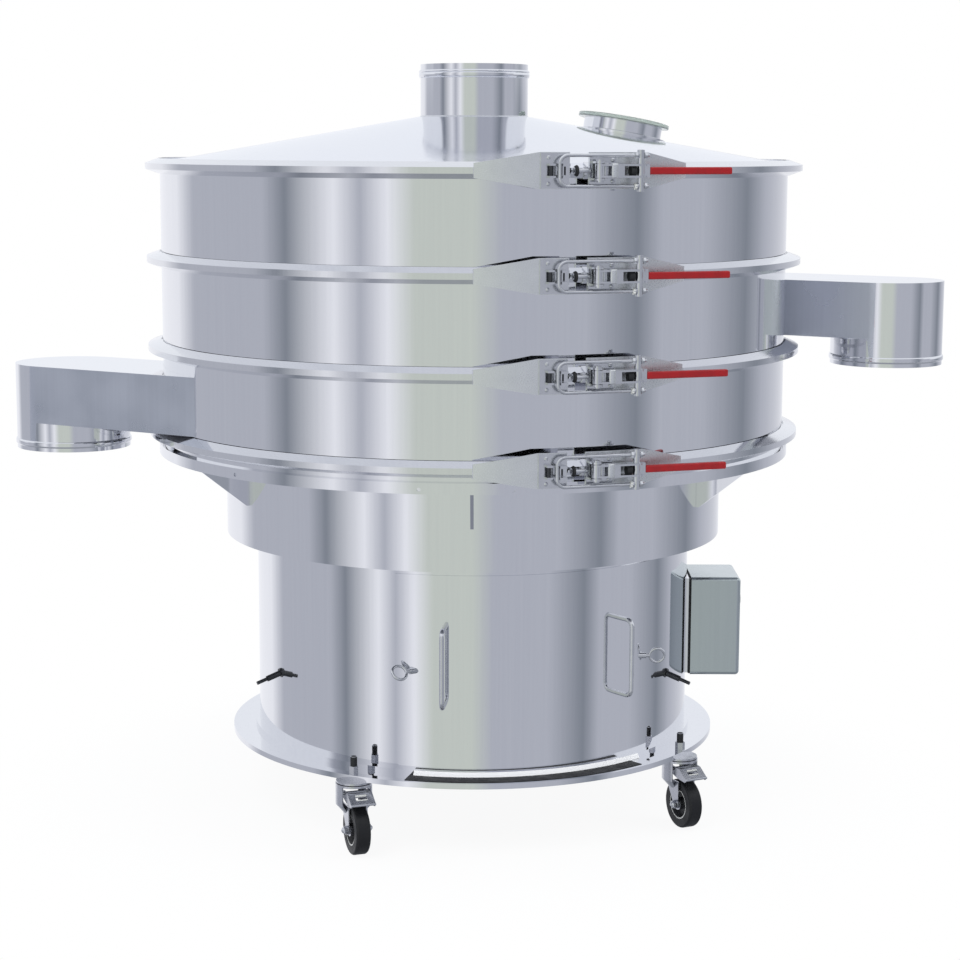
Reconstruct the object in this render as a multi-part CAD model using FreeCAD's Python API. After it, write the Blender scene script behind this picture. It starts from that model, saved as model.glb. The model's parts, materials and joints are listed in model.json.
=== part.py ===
"""Round two-deck vibrating screen on braked casters.

Frame: +Z up, floor at z = 0, origin on the machine's vertical axis.  Bearings are degrees
counter-clockwise from +X.  The lower chute leaves along -X and the upper one along +X.
"""
import FreeCAD, Part
import math
import os

V = FreeCAD.Vector
UP = V(0, 0, 1)

# Heights above the floor.
BASE_TOP = 147.0
BASE_PLATE_T = 10.0
UPPER_DRUM_RISE = 393.5
SKIRT_RISE = 555.7
SKIRT_H = 19.9
TABLE_NECK_H = 23.4
UPPER_DRUM_BOTTOM = BASE_TOP + UPPER_DRUM_RISE
SKIRT_BOTTOM = BASE_TOP + SKIRT_RISE
SKIRT_TOP = SKIRT_BOTTOM + SKIRT_H
SEAM_4 = SKIRT_TOP + TABLE_NECK_H
BOTTOM_FRAME_H = 162.1
MIDDLE_FRAME_H = 170.5
TOP_FRAME_H = 177.1
SEAM_3 = SEAM_4 + BOTTOM_FRAME_H
SEAM_2 = SEAM_3 + MIDDLE_FRAME_H
SEAM_1 = SEAM_2 + TOP_FRAME_H
SEAMS = (SEAM_1, SEAM_2, SEAM_3, SEAM_4)

# Frames, flanges and V-clamps.
FRAME_R = 610.0
FRAME_WALL = 3.0
SEAL_T = 1.5
FLANGE_R = FRAME_R + 22.0
CLAMP_FOOT_R = FRAME_R + 3.0
CLAMP_R = FRAME_R + 28.0
CLAMP_HALF = 14.5
BAND_HALF = 5.5
CLAMP_SHEET = 2.5
SEAT_GAP = 0.3

# Table ring that carries the frames.
TABLE_R = FRAME_R + 10.0
TABLE_T = 6.0
WEEP_BEARINGS = (-103.4, -68.5, -53.4)
WEEP_R = 3.5
WEEP_RISE = 8.0

# Lower drums and base plate.
UPPER_DRUM_INSET = 120.0
BASE_DRUM_INSET = 60.0
BASE_PLATE_RIM = 52.5
UPPER_DRUM_R = FRAME_R - UPPER_DRUM_INSET
BASE_DRUM_R = UPPER_DRUM_R - BASE_DRUM_INSET
BASE_PLATE_R = BASE_DRUM_R + BASE_PLATE_RIM
CURB_H = 9.0
CURB_W = 8.0
DRUM_OVERLAP = 60.0
DRUM_WALL = 3.0
SPRING_COUNT = 8
SPRING_R = 16.0
SPRING_OFFSET = 22.0
SPRING_SEAT_T = 8.0
SEAT_CLEAR = 8.0
GUSSET_COUNT = 6
GUSSET_T = 6.0
GUSSET_DROP = 96.0
GUSSET_TIP = 12.0
GUSSET_FOOT = 6.0
GUSSET_INSET = 8.0

# Lid, inlet and sight port.
LID_SLOPE = 10.0
LID_EDGE_H = 6.7
LID_T = 3.0
INLET_R = 104.7
INLET_WALL = 3.0
INLET_H = 99.3
INLET_BEAD_H = 14.0
INLET_BEAD_R = 3.2
PORT_BEARING = 48.0
PORT_INSET = 301.0
PORT_REACH = FRAME_R - PORT_INSET
PORT_R = 78.0
PORT_WALL = 4.0
PORT_H = 26.0
PORT_FOOT_R = PORT_R + 10.0
PORT_FOOT_T = 3.0
PORT_COVER_R = PORT_R + 13.0
PORT_COVER_T = 8.0
PORT_COVER_EDGE = 2.0

# Chutes: outward bearing, offset of the centre line to the left, reach of the neck, seam below.
CHUTE_W = 220.0
CHUTE_H = 110.0
CHUTE_WALL = 3.0
CHUTE_LIFT = 16.5
NECK_H = 55.0
NECK_BEAD_H = 11.0
NECK_BEAD_R = 2.5
CHUTE_INSET = 177.0
SHORT_CHUTE = 51.0
LONG_CHUTE = 91.0
CHUTE_OFFSET = FRAME_R - CHUTE_INSET
SHORT_REACH = FRAME_R + SHORT_CHUTE
LONG_REACH = FRAME_R + LONG_CHUTE
CHUTE_LEFT = (180.0, CHUTE_OFFSET, SHORT_REACH, SEAM_4)
CHUTE_RIGHT = (0.0, CHUTE_OFFSET, LONG_REACH, SEAM_3)
CHUTE_REAR = (90.0, CHUTE_OFFSET, SHORT_REACH, SEAM_2)

# Screens.
SCREEN_T = 2.0
SCREEN_RIM = 14.0

# Toggle clamps, placed on the clamp ring at one bearing; Y runs along the band from the pivot.
TOGGLE_BEARING = -41.2
TOGGLE_PLATE_T = 3.0
TOGGLE_PLATE_HALF = 31.0
GAP_LOW = -45.0
GAP_HIGH = -12.0
PLATE_LOW_TAPER = -97.0
PLATE_LOW_END = -205.0
PLATE_HIGH_TAPER = 97.0
PLATE_HIGH_END = 178.0
PLATE_TIP_INSET = 2.0
PIVOT_X = CLAMP_R + 24.0
LEVER_ARM = 75.0
TRUNNION_X = PIVOT_X - 2.0
PIVOT_PLATE_END = 36.0
PIVOT_PLATE_HALF = 24.0
PIVOT_PIN_R = 4.0
PIVOT_HEAD_R = 6.0
PIVOT_HEAD_T = 3.0
PIN_CLEAR = 0.1
EAR_T = 3.5
EAR_IN = 12.5
EAR_R = 9.0
LEVER_HALF = 11.5
LEVER_SIDE_T = 3.5
LEVER_ROOT_R = 8.5
LEVER_FORK_R = 10.5
WEB_START = LEVER_ARM - 46.0
WEB_END = LEVER_ARM - 34.0
WEB_LOW = 7.0
WEB_HIGH = 10.0
BRIDGE_GAP = 1.5
BRIDGE_LAP = 4.0
BRIDGE_HALF = 5.0
TRUNNION_R = 6.5
TRUNNION_HALF = 35.0
BAIL_HALF = 25.8
BAIL_ROD_R = 3.0
BAIL_CORNER_R = 15.0
BAIL_END = -71.0
BAIL_TAIL = 15.0
BAIL_NUT_AF = 10.0
BAIL_NUT_H = 6.0
BAIL_NUT_SEAT = 4.8
GRIP_START = LEVER_ARM + 15.0
GRIP_END = GRIP_START + 153.0
GRIP_HALF = 6.2
GRIP_ROUND = 2.8
GRIP_BLIND = 12.5
SHANK_R = 4.0
SHANK_LAP = 2.0
CATCH_Y = BAIL_END - 0.5
CATCH_PLATE_T = 4.0
CATCH_HALF = 24.5
CATCH_INSET = 1.5
POST_DEPTH = 13.0
POST_LIP = 7.0
POST_FOOT = 4.0
POST_HALF = 12.0
POST_CHEEK = 4.5
GUIDE_LOW = BAIL_END - 16.0
GUIDE_HIGH = BAIL_END - 5.5
GUIDE_DROP = 5.0

# Casters, each modelled about its swivel with the wheel's trail along +X.
CASTER_R = BASE_PLATE_R - 10.0
CASTER_BEARINGS = (-87.4, -2.0, 92.0, 178.0)
CASTER_HEADINGS = (-40.0, -34.0, -34.0, -36.0)
WHEEL_R = 47.0
WHEEL_HALF = 14.0
TREAD_ROUND = 4.0
TREAD_HALF = 8.0
TYRE_BORE = 30.0
RIM_T = 3.0
RIM_INSET = 1.0
CORE_INSET = 5.0
CORE_HALF = 5.0
TRAIL = 18.0
AXLE_R = 5.0
AXLE_NUT_R = 8.0
AXLE_NUT_T = 4.0
HUB_R = 12.0
HUB_HALF = 15.0
CROWN_R = 34.0
CROWN_T = 4.0
HEAD_R = 33.0
HEAD_T = 3.5
HEAD_GAP = 1.5
COLLAR_R = 20.0
LEG_IN = 16.0
LEG_T = 2.5
LEG_EYE_R = 9.0
LEG_BACK = 20.0
LEG_FRONT = 26.0
APRON_DROP = 36.0
APRON_START = 55.0
APRON_END = 150.0
SHOULDER_DROP = 16.0
WAIST_R = 20.0
STUD_R = 5.0
NUT_AF = 16.0
NUT_H = 16.0
CAP_H = 18.0
CAP_WALL = 0.8
PEDAL_PIN_X = 12.0
PEDAL_PIN_DROP = 16.0
PEDAL_PIN_R = 3.0
PEDAL_PIN_HALF = 30.0
PEDAL_T = 2.5
PEDAL_START = 37.0
PEDAL_END = 61.0
PEDAL_DROP = 11.0
PEDAL_SLOPE = 32.0
PEDAL_IN = 21.0
PEDAL_LIP_R = 2.2
PEDAL_SLOT_LOW = 44.0
PEDAL_SLOT_HIGH = 51.0
PEDAL_SLOT_HALF = 11.0
PEDAL_FLANGE_RISE = 6.0
PEDAL_FLANGE_DROP = 14.0
PEDAL_TAIL = 6.0
PEDAL_TOE = 3.0
PEDAL_TOE_DROP = 6.0

# Fittings on the base drum.
PANEL_BEARING = -43.0
PANEL_HALF_ANGLE = 36.0
PANEL_RISE = 24.0
PANEL_H = 352.0
PANEL_BOTTOM = BASE_TOP + PANEL_RISE
PANEL_TOP = PANEL_BOTTOM + PANEL_H
PANEL_T = 3.0
PANEL_R = BASE_DRUM_R + PANEL_T
HANDLE_BEARINGS = (-66.6, -21.1)
HANDLE_REACH = 40.0
HANDLE_RISE = 112.0
HANDLE_H = 144.0
HANDLE_BOTTOM = PANEL_BOTTOM + HANDLE_RISE
HANDLE_TOP = HANDLE_BOTTOM + HANDLE_H
HANDLE_ROD_R = 4.5
HANDLE_CORNER_R = 14.0
EYE_BEARINGS = (-74.1, -12.5)
EYE_LEANS = (-45.0, 45.0)
EYE_ROLLS = (40.0, 12.0)
EYE_Z = BASE_TOP + 196.4
EYE_REACH = 31.0
EYE_R = 14.0
EYE_WIRE_R = 2.7
EYE_SHANK_R = 3.5
EYE_NUT_R = 5.5
EYE_NUT_L = 10.0
STUD_BEARINGS = (-118.9, 0.4, 120.7)
STUD_Z = BASE_TOP + 143.0
STUD_TILT = 16.0
STUD_FLANGE_R = 9.0
STUD_FLANGE_T = 2.5
STUD_SLEEVE_R = 5.6
STUD_SLEEVE_L = 31.0
STUD_TIP_R = 3.4
STUD_TIP_L = 22.0

# Control box, on its own bearing.
BOX_BEARING = 30.0
BOX_HALF = 73.0
BOX_RISE = 104.0
BOX_H = 198.0
BOX_GAP = 5.0
BOX_DEPTH = 98.0
BOX_BOTTOM = BASE_TOP + BOX_RISE
BOX_TOP = BOX_BOTTOM + BOX_H
BOX_BACK = BASE_DRUM_R + BOX_GAP
BOX_FRONT = BOX_BACK + BOX_DEPTH
BOX_CORNER_R = 8.0
SADDLE_INSET = 9.0
SADDLE_END_INSET = 3.0
BOX_GASKET_T = 4.0
BOX_GASKET_INSET = 3.0
KNOB_Z = BOX_BOTTOM + 142.0
KNOB_R = 15.0
KNOB_L = 7.0
KNOB_ROUND = 2.5
LATCH_Z = BOX_BOTTOM + 57.0
LATCH_HALF_W = 13.0
LATCH_HALF_H = 17.0
LATCH_T = 4.0
LATCH_ROUND = 1.8

# Reach of a cutting tool beyond what it cuts, and how far joined pieces overlap.
OVERCUT = 20.0
LAP = 0.5


def polygon_face(points):
    return Part.Face(Part.makePolygon([V(*p) for p in points] + [V(*points[0])]))


def revolved(points, angle=360.0, start=0.0):
    """Turn a closed (radius, height) outline about the vertical axis."""
    face = polygon_face([(r, 0.0, z) for r, z in points])
    solid = face.revolve(V(0, 0, 0), UP, angle)
    return turned(solid, start)


def turned(shape, bearing):
    copy = shape.copy()
    copy.rotate(V(0, 0, 0), UP, bearing)
    return copy


def moved(shape, x=0.0, y=0.0, z=0.0):
    copy = shape.copy()
    copy.translate(V(x, y, z))
    return copy


def tube(outer, inner, z0, z1):
    return revolved([(inner, z0), (outer, z0), (outer, z1), (inner, z1)])


def rod(radius, start, end):
    start, end = V(*start), V(*end)
    way = end - start
    return Part.makeCylinder(radius, way.Length, start, way)


def block(x0, x1, y0, y1, z0, z1):
    return Part.makeBox(x1 - x0, y1 - y0, z1 - z0, V(x0, y0, z0))


def joined(shapes):
    result = shapes[0].multiFuse(shapes[1:]) if len(shapes) > 1 else shapes[0]
    return result.removeSplitter()


def hexagon(across, height, x, y, z):
    corner = across / math.sqrt(3.0)
    points = [(x + corner * math.cos(math.radians(60 * k)),
               y + corner * math.sin(math.radians(60 * k)), z) for k in range(6)]
    return polygon_face(points).extrude(V(0, 0, height))


def clamp_slope():
    return (CLAMP_HALF - BAND_HALF) / (CLAMP_R - CLAMP_FOOT_R)


def flange_outline(seam, side):
    """Outline of one coned flange; side is +1 above the seam and -1 below it."""
    slope = clamp_slope()
    depth = CLAMP_SHEET * math.sqrt(1.0 + slope * slope) + SEAT_GAP
    root = CLAMP_HALF + slope * (CLAMP_FOOT_R - FRAME_R) - depth
    tip = CLAMP_HALF + slope * (CLAMP_FOOT_R - FLANGE_R) - depth
    foot = SEAL_T / 2.0
    inner = FRAME_R - FRAME_WALL
    return [(inner, seam + side * foot), (FLANGE_R, seam + side * foot),
            (FLANGE_R, seam + side * tip), (FRAME_R, seam + side * root),
            (inner, seam + side * root)]


def frame(low_seam, high_seam):
    inner = FRAME_R - FRAME_WALL
    shell = tube(FRAME_R, inner, low_seam + SEAL_T / 2.0, high_seam - SEAL_T / 2.0)
    return joined([shell, revolved(flange_outline(low_seam, 1)),
                   revolved(flange_outline(high_seam, -1))])


def chute_block(width, height, reach, z0):
    """A D-ended bar along +X from the axis, centred on its own line."""
    half = width / 2.0
    bar = block(0.0, reach, -half, half, z0, z0 + height)
    end = Part.makeCylinder(half, height, V(reach, 0, z0))
    return bar.fuse(end).removeSplitter()


def placed_chute(shape, chute):
    bearing, offset, _, _ = chute
    return turned(moved(shape, y=offset), bearing)


def chute_bore(chute):
    """The inside of the chute's body, which also cuts the frame's window."""
    _, _, reach, seam = chute
    z0 = seam + CHUTE_LIFT + CHUTE_WALL
    inside = chute_block(CHUTE_W - 2 * CHUTE_WALL, CHUTE_H - 2 * CHUTE_WALL, reach, z0)
    return placed_chute(inside, chute)


def chute(spec):
    """Duct with a round end over its neck, cut to the frame that it leaves."""
    _, _, reach, seam = spec
    z0 = seam + CHUTE_LIFT
    body = chute_block(CHUTE_W, CHUTE_H, reach, z0)
    neck = Part.makeCylinder(CHUTE_W / 2.0, NECK_H, V(reach, 0, z0 - NECK_H))
    bead = Part.makeTorus(CHUTE_W / 2.0, NECK_BEAD_R, V(reach, 0, z0 - NECK_H + NECK_BEAD_H))
    inner = CHUTE_W / 2.0 - CHUTE_WALL
    bore = Part.makeCylinder(inner, NECK_H + 2 * CHUTE_WALL, V(reach, 0, z0 - NECK_H))
    shell = joined([body, neck, bead]).cut(bore)
    shell = placed_chute(shell, spec).cut(chute_bore(spec))
    frame_body = Part.makeCylinder(FRAME_R, 2 * CHUTE_H, V(0, 0, z0 - CHUTE_H / 2.0))
    pieces = shell.cut(frame_body).Solids
    return max(pieces, key=lambda solid: solid.Volume)


def with_window(shape, spec):
    """Cut the chute's inside through the frame's wall, on the chute's own side."""
    return shape.cut(chute_bore(spec))


def clamp_outline(seam):
    slope = clamp_slope()
    depth = CLAMP_SHEET * math.sqrt(1.0 + slope * slope)
    inner_band_r = CLAMP_R - CLAMP_SHEET
    inner_band = BAND_HALF + slope * (CLAMP_R - inner_band_r) - depth
    upper = [(CLAMP_FOOT_R, CLAMP_HALF), (CLAMP_R, BAND_HALF)]
    outer = upper + [(r, -z) for r, z in reversed(upper)]
    inside = [(CLAMP_FOOT_R, CLAMP_HALF - depth), (inner_band_r, inner_band)]
    inner = [(r, -z) for r, z in inside] + list(reversed(inside))
    return [(r, seam + z) for r, z in outer + inner]


def angle_at(y):
    return math.degrees(math.asin(y / CLAMP_R))


def end_plate(y_full, y_taper, y_end):
    """Curved sheet on the band, tall by the toggle and tapering to the band's height."""
    low, high = sorted((y_full, y_end))
    sheet = revolved([(CLAMP_R, -TOGGLE_PLATE_HALF), (CLAMP_R + TOGGLE_PLATE_T, -TOGGLE_PLATE_HALF),
                      (CLAMP_R + TOGGLE_PLATE_T, TOGGLE_PLATE_HALF), (CLAMP_R, TOGGLE_PLATE_HALF)],
                     angle_at(high) - angle_at(low), angle_at(low))
    tall, thin, x = TOGGLE_PLATE_HALF, CLAMP_HALF - PLATE_TIP_INSET, CLAMP_R / 2.0
    outline = polygon_face([(x, y_full, -tall), (x, y_taper, -tall), (x, y_end, -thin),
                            (x, y_end, thin), (x, y_taper, tall), (x, y_full, tall)])
    return sheet.common(outline.extrude(V(CLAMP_R, 0, 0)))


def catch_bracket():
    """Plate with the post that the bail's closed end hooks behind, and two guide ears."""
    face = CLAMP_R + TOGGLE_PLATE_T
    top = face + CATCH_PLATE_T
    tall = TOGGLE_PLATE_HALF - CATCH_INSET
    plate = turned(block(face - LAP, top, -CATCH_HALF, CATCH_HALF, -tall, tall), angle_at(CATCH_Y))
    post_low = BAIL_END + BAIL_ROD_R + SEAT_GAP
    post_high = post_low + POST_DEPTH
    post = block(CLAMP_R, TRUNNION_X + POST_LIP, post_low, post_high, -POST_HALF, POST_HALF)
    post = post.cut(block(top + POST_FOOT, TRUNNION_X + 2 * POST_LIP, BAIL_END, post_high + OVERCUT,
                          -POST_HALF + POST_CHEEK, POST_HALF - POST_CHEEK))
    parts = [plate, post]
    for z in (-POST_HALF, POST_HALF - EAR_T):
        parts.append(block(CLAMP_R, TRUNNION_X - GUIDE_DROP, GUIDE_LOW, GUIDE_HIGH, z, z + EAR_T))
    return joined(parts)


def pivot_base():
    """Base plate, two ears and the lever's pin."""
    face = CLAMP_R + TOGGLE_PLATE_T
    top = face + CATCH_PLATE_T
    parts = [block(face - LAP, top, GAP_HIGH, PIVOT_PLATE_END, -PIVOT_PLATE_HALF, PIVOT_PLATE_HALF)]
    outer = EAR_IN + EAR_T
    reach = outer + PIVOT_HEAD_T
    for low in (-outer, EAR_IN):
        parts.append(block(top - LAP, PIVOT_X, -EAR_R, EAR_R, low, low + EAR_T))
        parts.append(Part.makeCylinder(EAR_R, EAR_T, V(PIVOT_X, 0, low)))
    parts.append(Part.makeCylinder(PIVOT_PIN_R, 2 * reach, V(PIVOT_X, 0, -reach)))
    for low in (-reach, outer):
        parts.append(Part.makeCylinder(PIVOT_HEAD_R, PIVOT_HEAD_T, V(PIVOT_X, 0, low)))
    return joined(parts)


def clamp_ring(seam):
    """V-section band with a gap behind the toggle, its end plates, catch and pivot base."""
    gap_start, gap_end = angle_at(GAP_LOW), angle_at(GAP_HIGH)
    band = revolved(clamp_outline(0.0), 360.0 - (gap_end - gap_start), gap_end)
    plates = [end_plate(GAP_LOW, PLATE_LOW_TAPER, PLATE_LOW_END),
              end_plate(GAP_HIGH, PLATE_HIGH_TAPER, PLATE_HIGH_END)]
    ring = joined([band] + plates + [catch_bracket(), pivot_base()])
    return at_toggle(ring, seam)


def at_toggle(shape, seam):
    return moved(turned(shape, TOGGLE_BEARING), z=seam)


def link(start, start_r, end, end_r, thickness):
    """A flat bar between two round ends, its edges tangent to both; it lies on its start's height."""
    start, end = V(*start), V(*end)
    way = end - start
    bearing = math.degrees(math.atan2(way.y, way.x))
    lean = math.degrees(math.acos((start_r - end_r) / way.Length))
    corners = []
    for centre, radius, angles in ((start, start_r, (bearing + lean, bearing - lean)),
                                   (end, end_r, (bearing - lean, bearing + lean))):
        for angle in angles:
            turn = math.radians(angle)
            corners.append(centre + V(radius * math.cos(turn), radius * math.sin(turn), 0))
    bar = polygon_face([tuple(corner) for corner in corners]).extrude(V(0, 0, thickness))
    ends = [Part.makeCylinder(start_r, thickness, start), Part.makeCylinder(end_r, thickness, end)]
    return joined([bar] + ends)


def clamp_lever(seam):
    """Two side plates from the pivot to the trunnion, a web and a bridge, and the grip's shank."""
    parts = [Part.makeCylinder(LEVER_ROOT_R, 2 * LEVER_HALF, V(PIVOT_X, 0, -LEVER_HALF)),
             block(PIVOT_X - WEB_LOW, PIVOT_X + WEB_HIGH, WEB_START, WEB_END, -LEVER_HALF, LEVER_HALF)]
    for low in (-LEVER_HALF, LEVER_HALF - LEVER_SIDE_T):
        parts.append(link((PIVOT_X, 0, low), LEVER_ROOT_R, (TRUNNION_X, LEVER_ARM, low), LEVER_FORK_R,
                          LEVER_SIDE_T))
    bridge = LEVER_ARM + TRUNNION_R + BRIDGE_GAP - BRIDGE_LAP
    parts.append(block(TRUNNION_X - BRIDGE_HALF, TRUNNION_X + BRIDGE_HALF, bridge, GRIP_START,
                       -LEVER_HALF, LEVER_HALF))
    parts.append(rod(SHANK_R, (TRUNNION_X, GRIP_START - SHANK_LAP, 0),
                     (TRUNNION_X, GRIP_END - GRIP_BLIND - LAP, 0)))
    lever = joined(parts)
    reach = LEVER_HALF + OVERCUT
    for x, y, radius in ((PIVOT_X, 0, PIVOT_PIN_R), (TRUNNION_X, LEVER_ARM, TRUNNION_R)):
        lever = lever.cut(Part.makeCylinder(radius + PIN_CLEAR, 2 * reach, V(x, y, -reach)))
    return at_toggle(lever, seam)


def clamp_grip(seam):
    """Dipped sleeve over the lever's shank."""
    sleeve = block(TRUNNION_X - GRIP_HALF, TRUNNION_X + GRIP_HALF, GRIP_START, GRIP_END,
                   -GRIP_HALF, GRIP_HALF)
    sleeve = sleeve.makeFillet(GRIP_ROUND, sleeve.Edges)
    bore = rod(SHANK_R + PIN_CLEAR, (TRUNNION_X, GRIP_START - OVERCUT, 0),
               (TRUNNION_X, GRIP_END - GRIP_BLIND, 0))
    return at_toggle(sleeve.cut(bore), seam)


def clamp_bail(seam):
    """U-bolt whose threaded legs end in the cross bar that turns in the lever."""
    bend = BAIL_END + BAIL_CORNER_R
    inner = BAIL_HALF - BAIL_CORNER_R
    parts = [rod(BAIL_ROD_R, (TRUNNION_X, BAIL_END, -inner), (TRUNNION_X, BAIL_END, inner)),
             rod(TRUNNION_R, (TRUNNION_X, LEVER_ARM, -TRUNNION_HALF),
                 (TRUNNION_X, LEVER_ARM, TRUNNION_HALF))]
    for side in (-1, 1):
        z = side * BAIL_HALF
        parts.append(rod(BAIL_ROD_R, (TRUNNION_X, bend, z), (TRUNNION_X, LEVER_ARM + BAIL_TAIL, z)))
        section = Part.Face(Part.Wire(Part.makeCircle(BAIL_ROD_R, V(TRUNNION_X, bend, z), V(0, 1, 0))))
        centre = V(TRUNNION_X, bend, side * inner)
        parts.append(section.revolve(centre, V(side, 0, 0), 90.0))
        nut = hexagon(BAIL_NUT_AF, BAIL_NUT_H, 0, 0, 0)
        nut.rotate(V(0, 0, 0), V(1, 0, 0), -90.0)
        for y in (LEVER_ARM - BAIL_NUT_SEAT - BAIL_NUT_H, LEVER_ARM + BAIL_NUT_SEAT):
            parts.append(moved(nut, TRUNNION_X, y, z))
    return at_toggle(joined(parts), seam)


def lid_height(radius):
    slope = math.tan(math.radians(LID_SLOPE))
    return SEAM_1 + LID_EDGE_H + slope * (FRAME_R - radius)


def inlet_top():
    return lid_height(INLET_R) + INLET_H


def lid():
    """Coned lid with a short rim and a coned flange; cut for the inlet and the sight port."""
    inner = FRAME_R - FRAME_WALL
    mouth = INLET_R - INLET_WALL
    skin = LID_T / math.cos(math.radians(LID_SLOPE))
    foot = SEAM_1 + SEAL_T / 2.0
    outline = [(FRAME_R, foot), (FRAME_R, lid_height(FRAME_R)), (mouth, lid_height(mouth)),
               (mouth, lid_height(mouth) - skin), (inner, lid_height(inner) - skin), (inner, foot)]
    shell = revolved(outline).fuse(revolved(flange_outline(SEAM_1, 1)))
    return shell.cut(port_cylinder(PORT_R - PORT_WALL, -PORT_R, PORT_R)).removeSplitter()


def port_cylinder(radius, low, high):
    """A round bar square to the lid at the port; heights are measured from the lid's skin."""
    bar = Part.makeCylinder(radius, high - low, V(0, 0, low))
    bar.rotate(V(0, 0, 0), V(0, 1, 0), LID_SLOPE)
    return turned(moved(bar, PORT_REACH, 0, lid_height(PORT_REACH)), PORT_BEARING)


def lid_body():
    """Everything at or below the lid's outer skin, for trimming what stands on it."""
    return revolved([(0.0, SEAM_1 - PORT_R), (FRAME_R, SEAM_1 - PORT_R), (FRAME_R, lid_height(FRAME_R)),
                     (0.0, lid_height(0.0))])


def inlet_spout():
    mouth = INLET_R - INLET_WALL
    top = inlet_top()
    pipe = tube(INLET_R, mouth, lid_height(INLET_R) - OVERCUT, top)
    bead = Part.makeTorus(INLET_R, INLET_BEAD_R, V(0, 0, top - INLET_BEAD_H))
    bore = Part.makeCylinder(mouth, 2 * INLET_H, V(0, 0, top - 1.5 * INLET_H))
    return pipe.fuse(bead).cut(bore).cut(lid_body()).removeSplitter()


def port_collar():
    """Collar of the sight port with the thin flange at its foot, both seated on the lid."""
    collar = port_cylinder(PORT_R, -OVERCUT, PORT_H).fuse(port_cylinder(PORT_FOOT_R, -OVERCUT, PORT_FOOT_T))
    bore = port_cylinder(PORT_R - PORT_WALL, -2 * OVERCUT, PORT_H + OVERCUT)
    return collar.cut(bore).cut(lid_body()).removeSplitter()


def port_cover():
    """Flat cover with rounded edges."""
    disc = Part.makeCylinder(PORT_COVER_R, PORT_COVER_T)
    disc = disc.makeFillet(PORT_COVER_EDGE, disc.Edges)
    disc.rotate(V(0, 0, 0), V(0, 1, 0), LID_SLOPE)
    slope = math.radians(LID_SLOPE)
    x = PORT_REACH + PORT_H * math.sin(slope)
    return turned(moved(disc, x, 0, lid_height(PORT_REACH) + PORT_H * math.cos(slope)), PORT_BEARING)


def screen(seam):
    """Tensioned screen: a rim clamped in the seam and the wire cloth across it."""
    rim = tube(FLANGE_R, FRAME_R - SCREEN_RIM, seam - SEAL_T / 2.0, seam + SEAL_T / 2.0)
    cloth = Part.makeCylinder(FRAME_R - SCREEN_RIM, SCREEN_T, V(0, 0, seam - SCREEN_T / 2.0))
    return joined([rim, cloth])


def rim_gaskets():
    return Part.makeCompound([tube(FLANGE_R, FRAME_R - FRAME_WALL, seam - SEAL_T / 2.0,
                                   seam + SEAL_T / 2.0) for seam in (SEAM_1, SEAM_4)])


def table_ring():
    """Flanged table: clamp flange, skirt band with weep holes, and the pan under the bottom frame."""
    inner = FRAME_R - FRAME_WALL
    flange = revolved(flange_outline(SEAM_4, -1))
    wall = tube(FRAME_R, inner, SKIRT_TOP - TABLE_T, SEAM_4 - SEAL_T / 2.0)
    band = tube(TABLE_R, TABLE_R - DRUM_WALL, SKIRT_BOTTOM, SKIRT_TOP)
    pan = Part.makeCylinder(TABLE_R, TABLE_T, V(0, 0, SKIRT_TOP - TABLE_T))
    z = SKIRT_BOTTOM + WEEP_RISE
    hole = rod(WEEP_R, (TABLE_R - OVERCUT, 0, z), (TABLE_R + OVERCUT, 0, z))
    holes = Part.makeCompound([turned(hole, bearing) for bearing in WEEP_BEARINGS])
    return joined([flange, wall, band, pan]).cut(holes)


def upper_drum():
    return tube(UPPER_DRUM_R, UPPER_DRUM_R - DRUM_WALL, UPPER_DRUM_BOTTOM, SKIRT_TOP - TABLE_T)


def gussets():
    """Triangular plates between the upper drum and the underside of the table."""
    top = SKIRT_TOP - TABLE_T
    root = UPPER_DRUM_R - LAP
    outer = FRAME_R - GUSSET_INSET
    low = top - GUSSET_DROP
    face = polygon_face([(root, -GUSSET_T / 2, top), (outer, -GUSSET_T / 2, top),
                         (outer, -GUSSET_T / 2, top - GUSSET_TIP),
                         (root + GUSSET_FOOT, -GUSSET_T / 2, low), (root, -GUSSET_T / 2, low)])
    plate = face.extrude(V(0, GUSSET_T, 0))
    plate = plate.cut(Part.makeCylinder(UPPER_DRUM_R, 2 * GUSSET_DROP, V(0, 0, low - GUSSET_DROP / 2)))
    return Part.makeCompound([turned(plate, k * 360.0 / GUSSET_COUNT) for k in range(GUSSET_COUNT)])


def drum_top():
    return UPPER_DRUM_BOTTOM + DRUM_OVERLAP


def base_drum():
    """Base drum with the curb at its foot and the spring seat at its hidden top."""
    inner = BASE_DRUM_R - DRUM_WALL
    wall = tube(BASE_DRUM_R, inner, BASE_TOP, drum_top())
    curb = tube(BASE_DRUM_R + CURB_W, inner, BASE_TOP, BASE_TOP + CURB_H)
    seat = tube(UPPER_DRUM_R - DRUM_WALL - SEAT_CLEAR, inner, drum_top(), drum_top() + SPRING_SEAT_T)
    return joined([wall, curb, seat])


def spring_mounts():
    low = drum_top() + SPRING_SEAT_T
    high = SKIRT_TOP - TABLE_T
    radius = BASE_DRUM_R + SPRING_OFFSET
    posts = []
    for k in range(SPRING_COUNT):
        post = Part.makeCylinder(SPRING_R, high - low, V(radius, 0, low))
        posts.append(turned(post, (k + 0.5) * 360.0 / SPRING_COUNT))
    return Part.makeCompound(posts)


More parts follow.
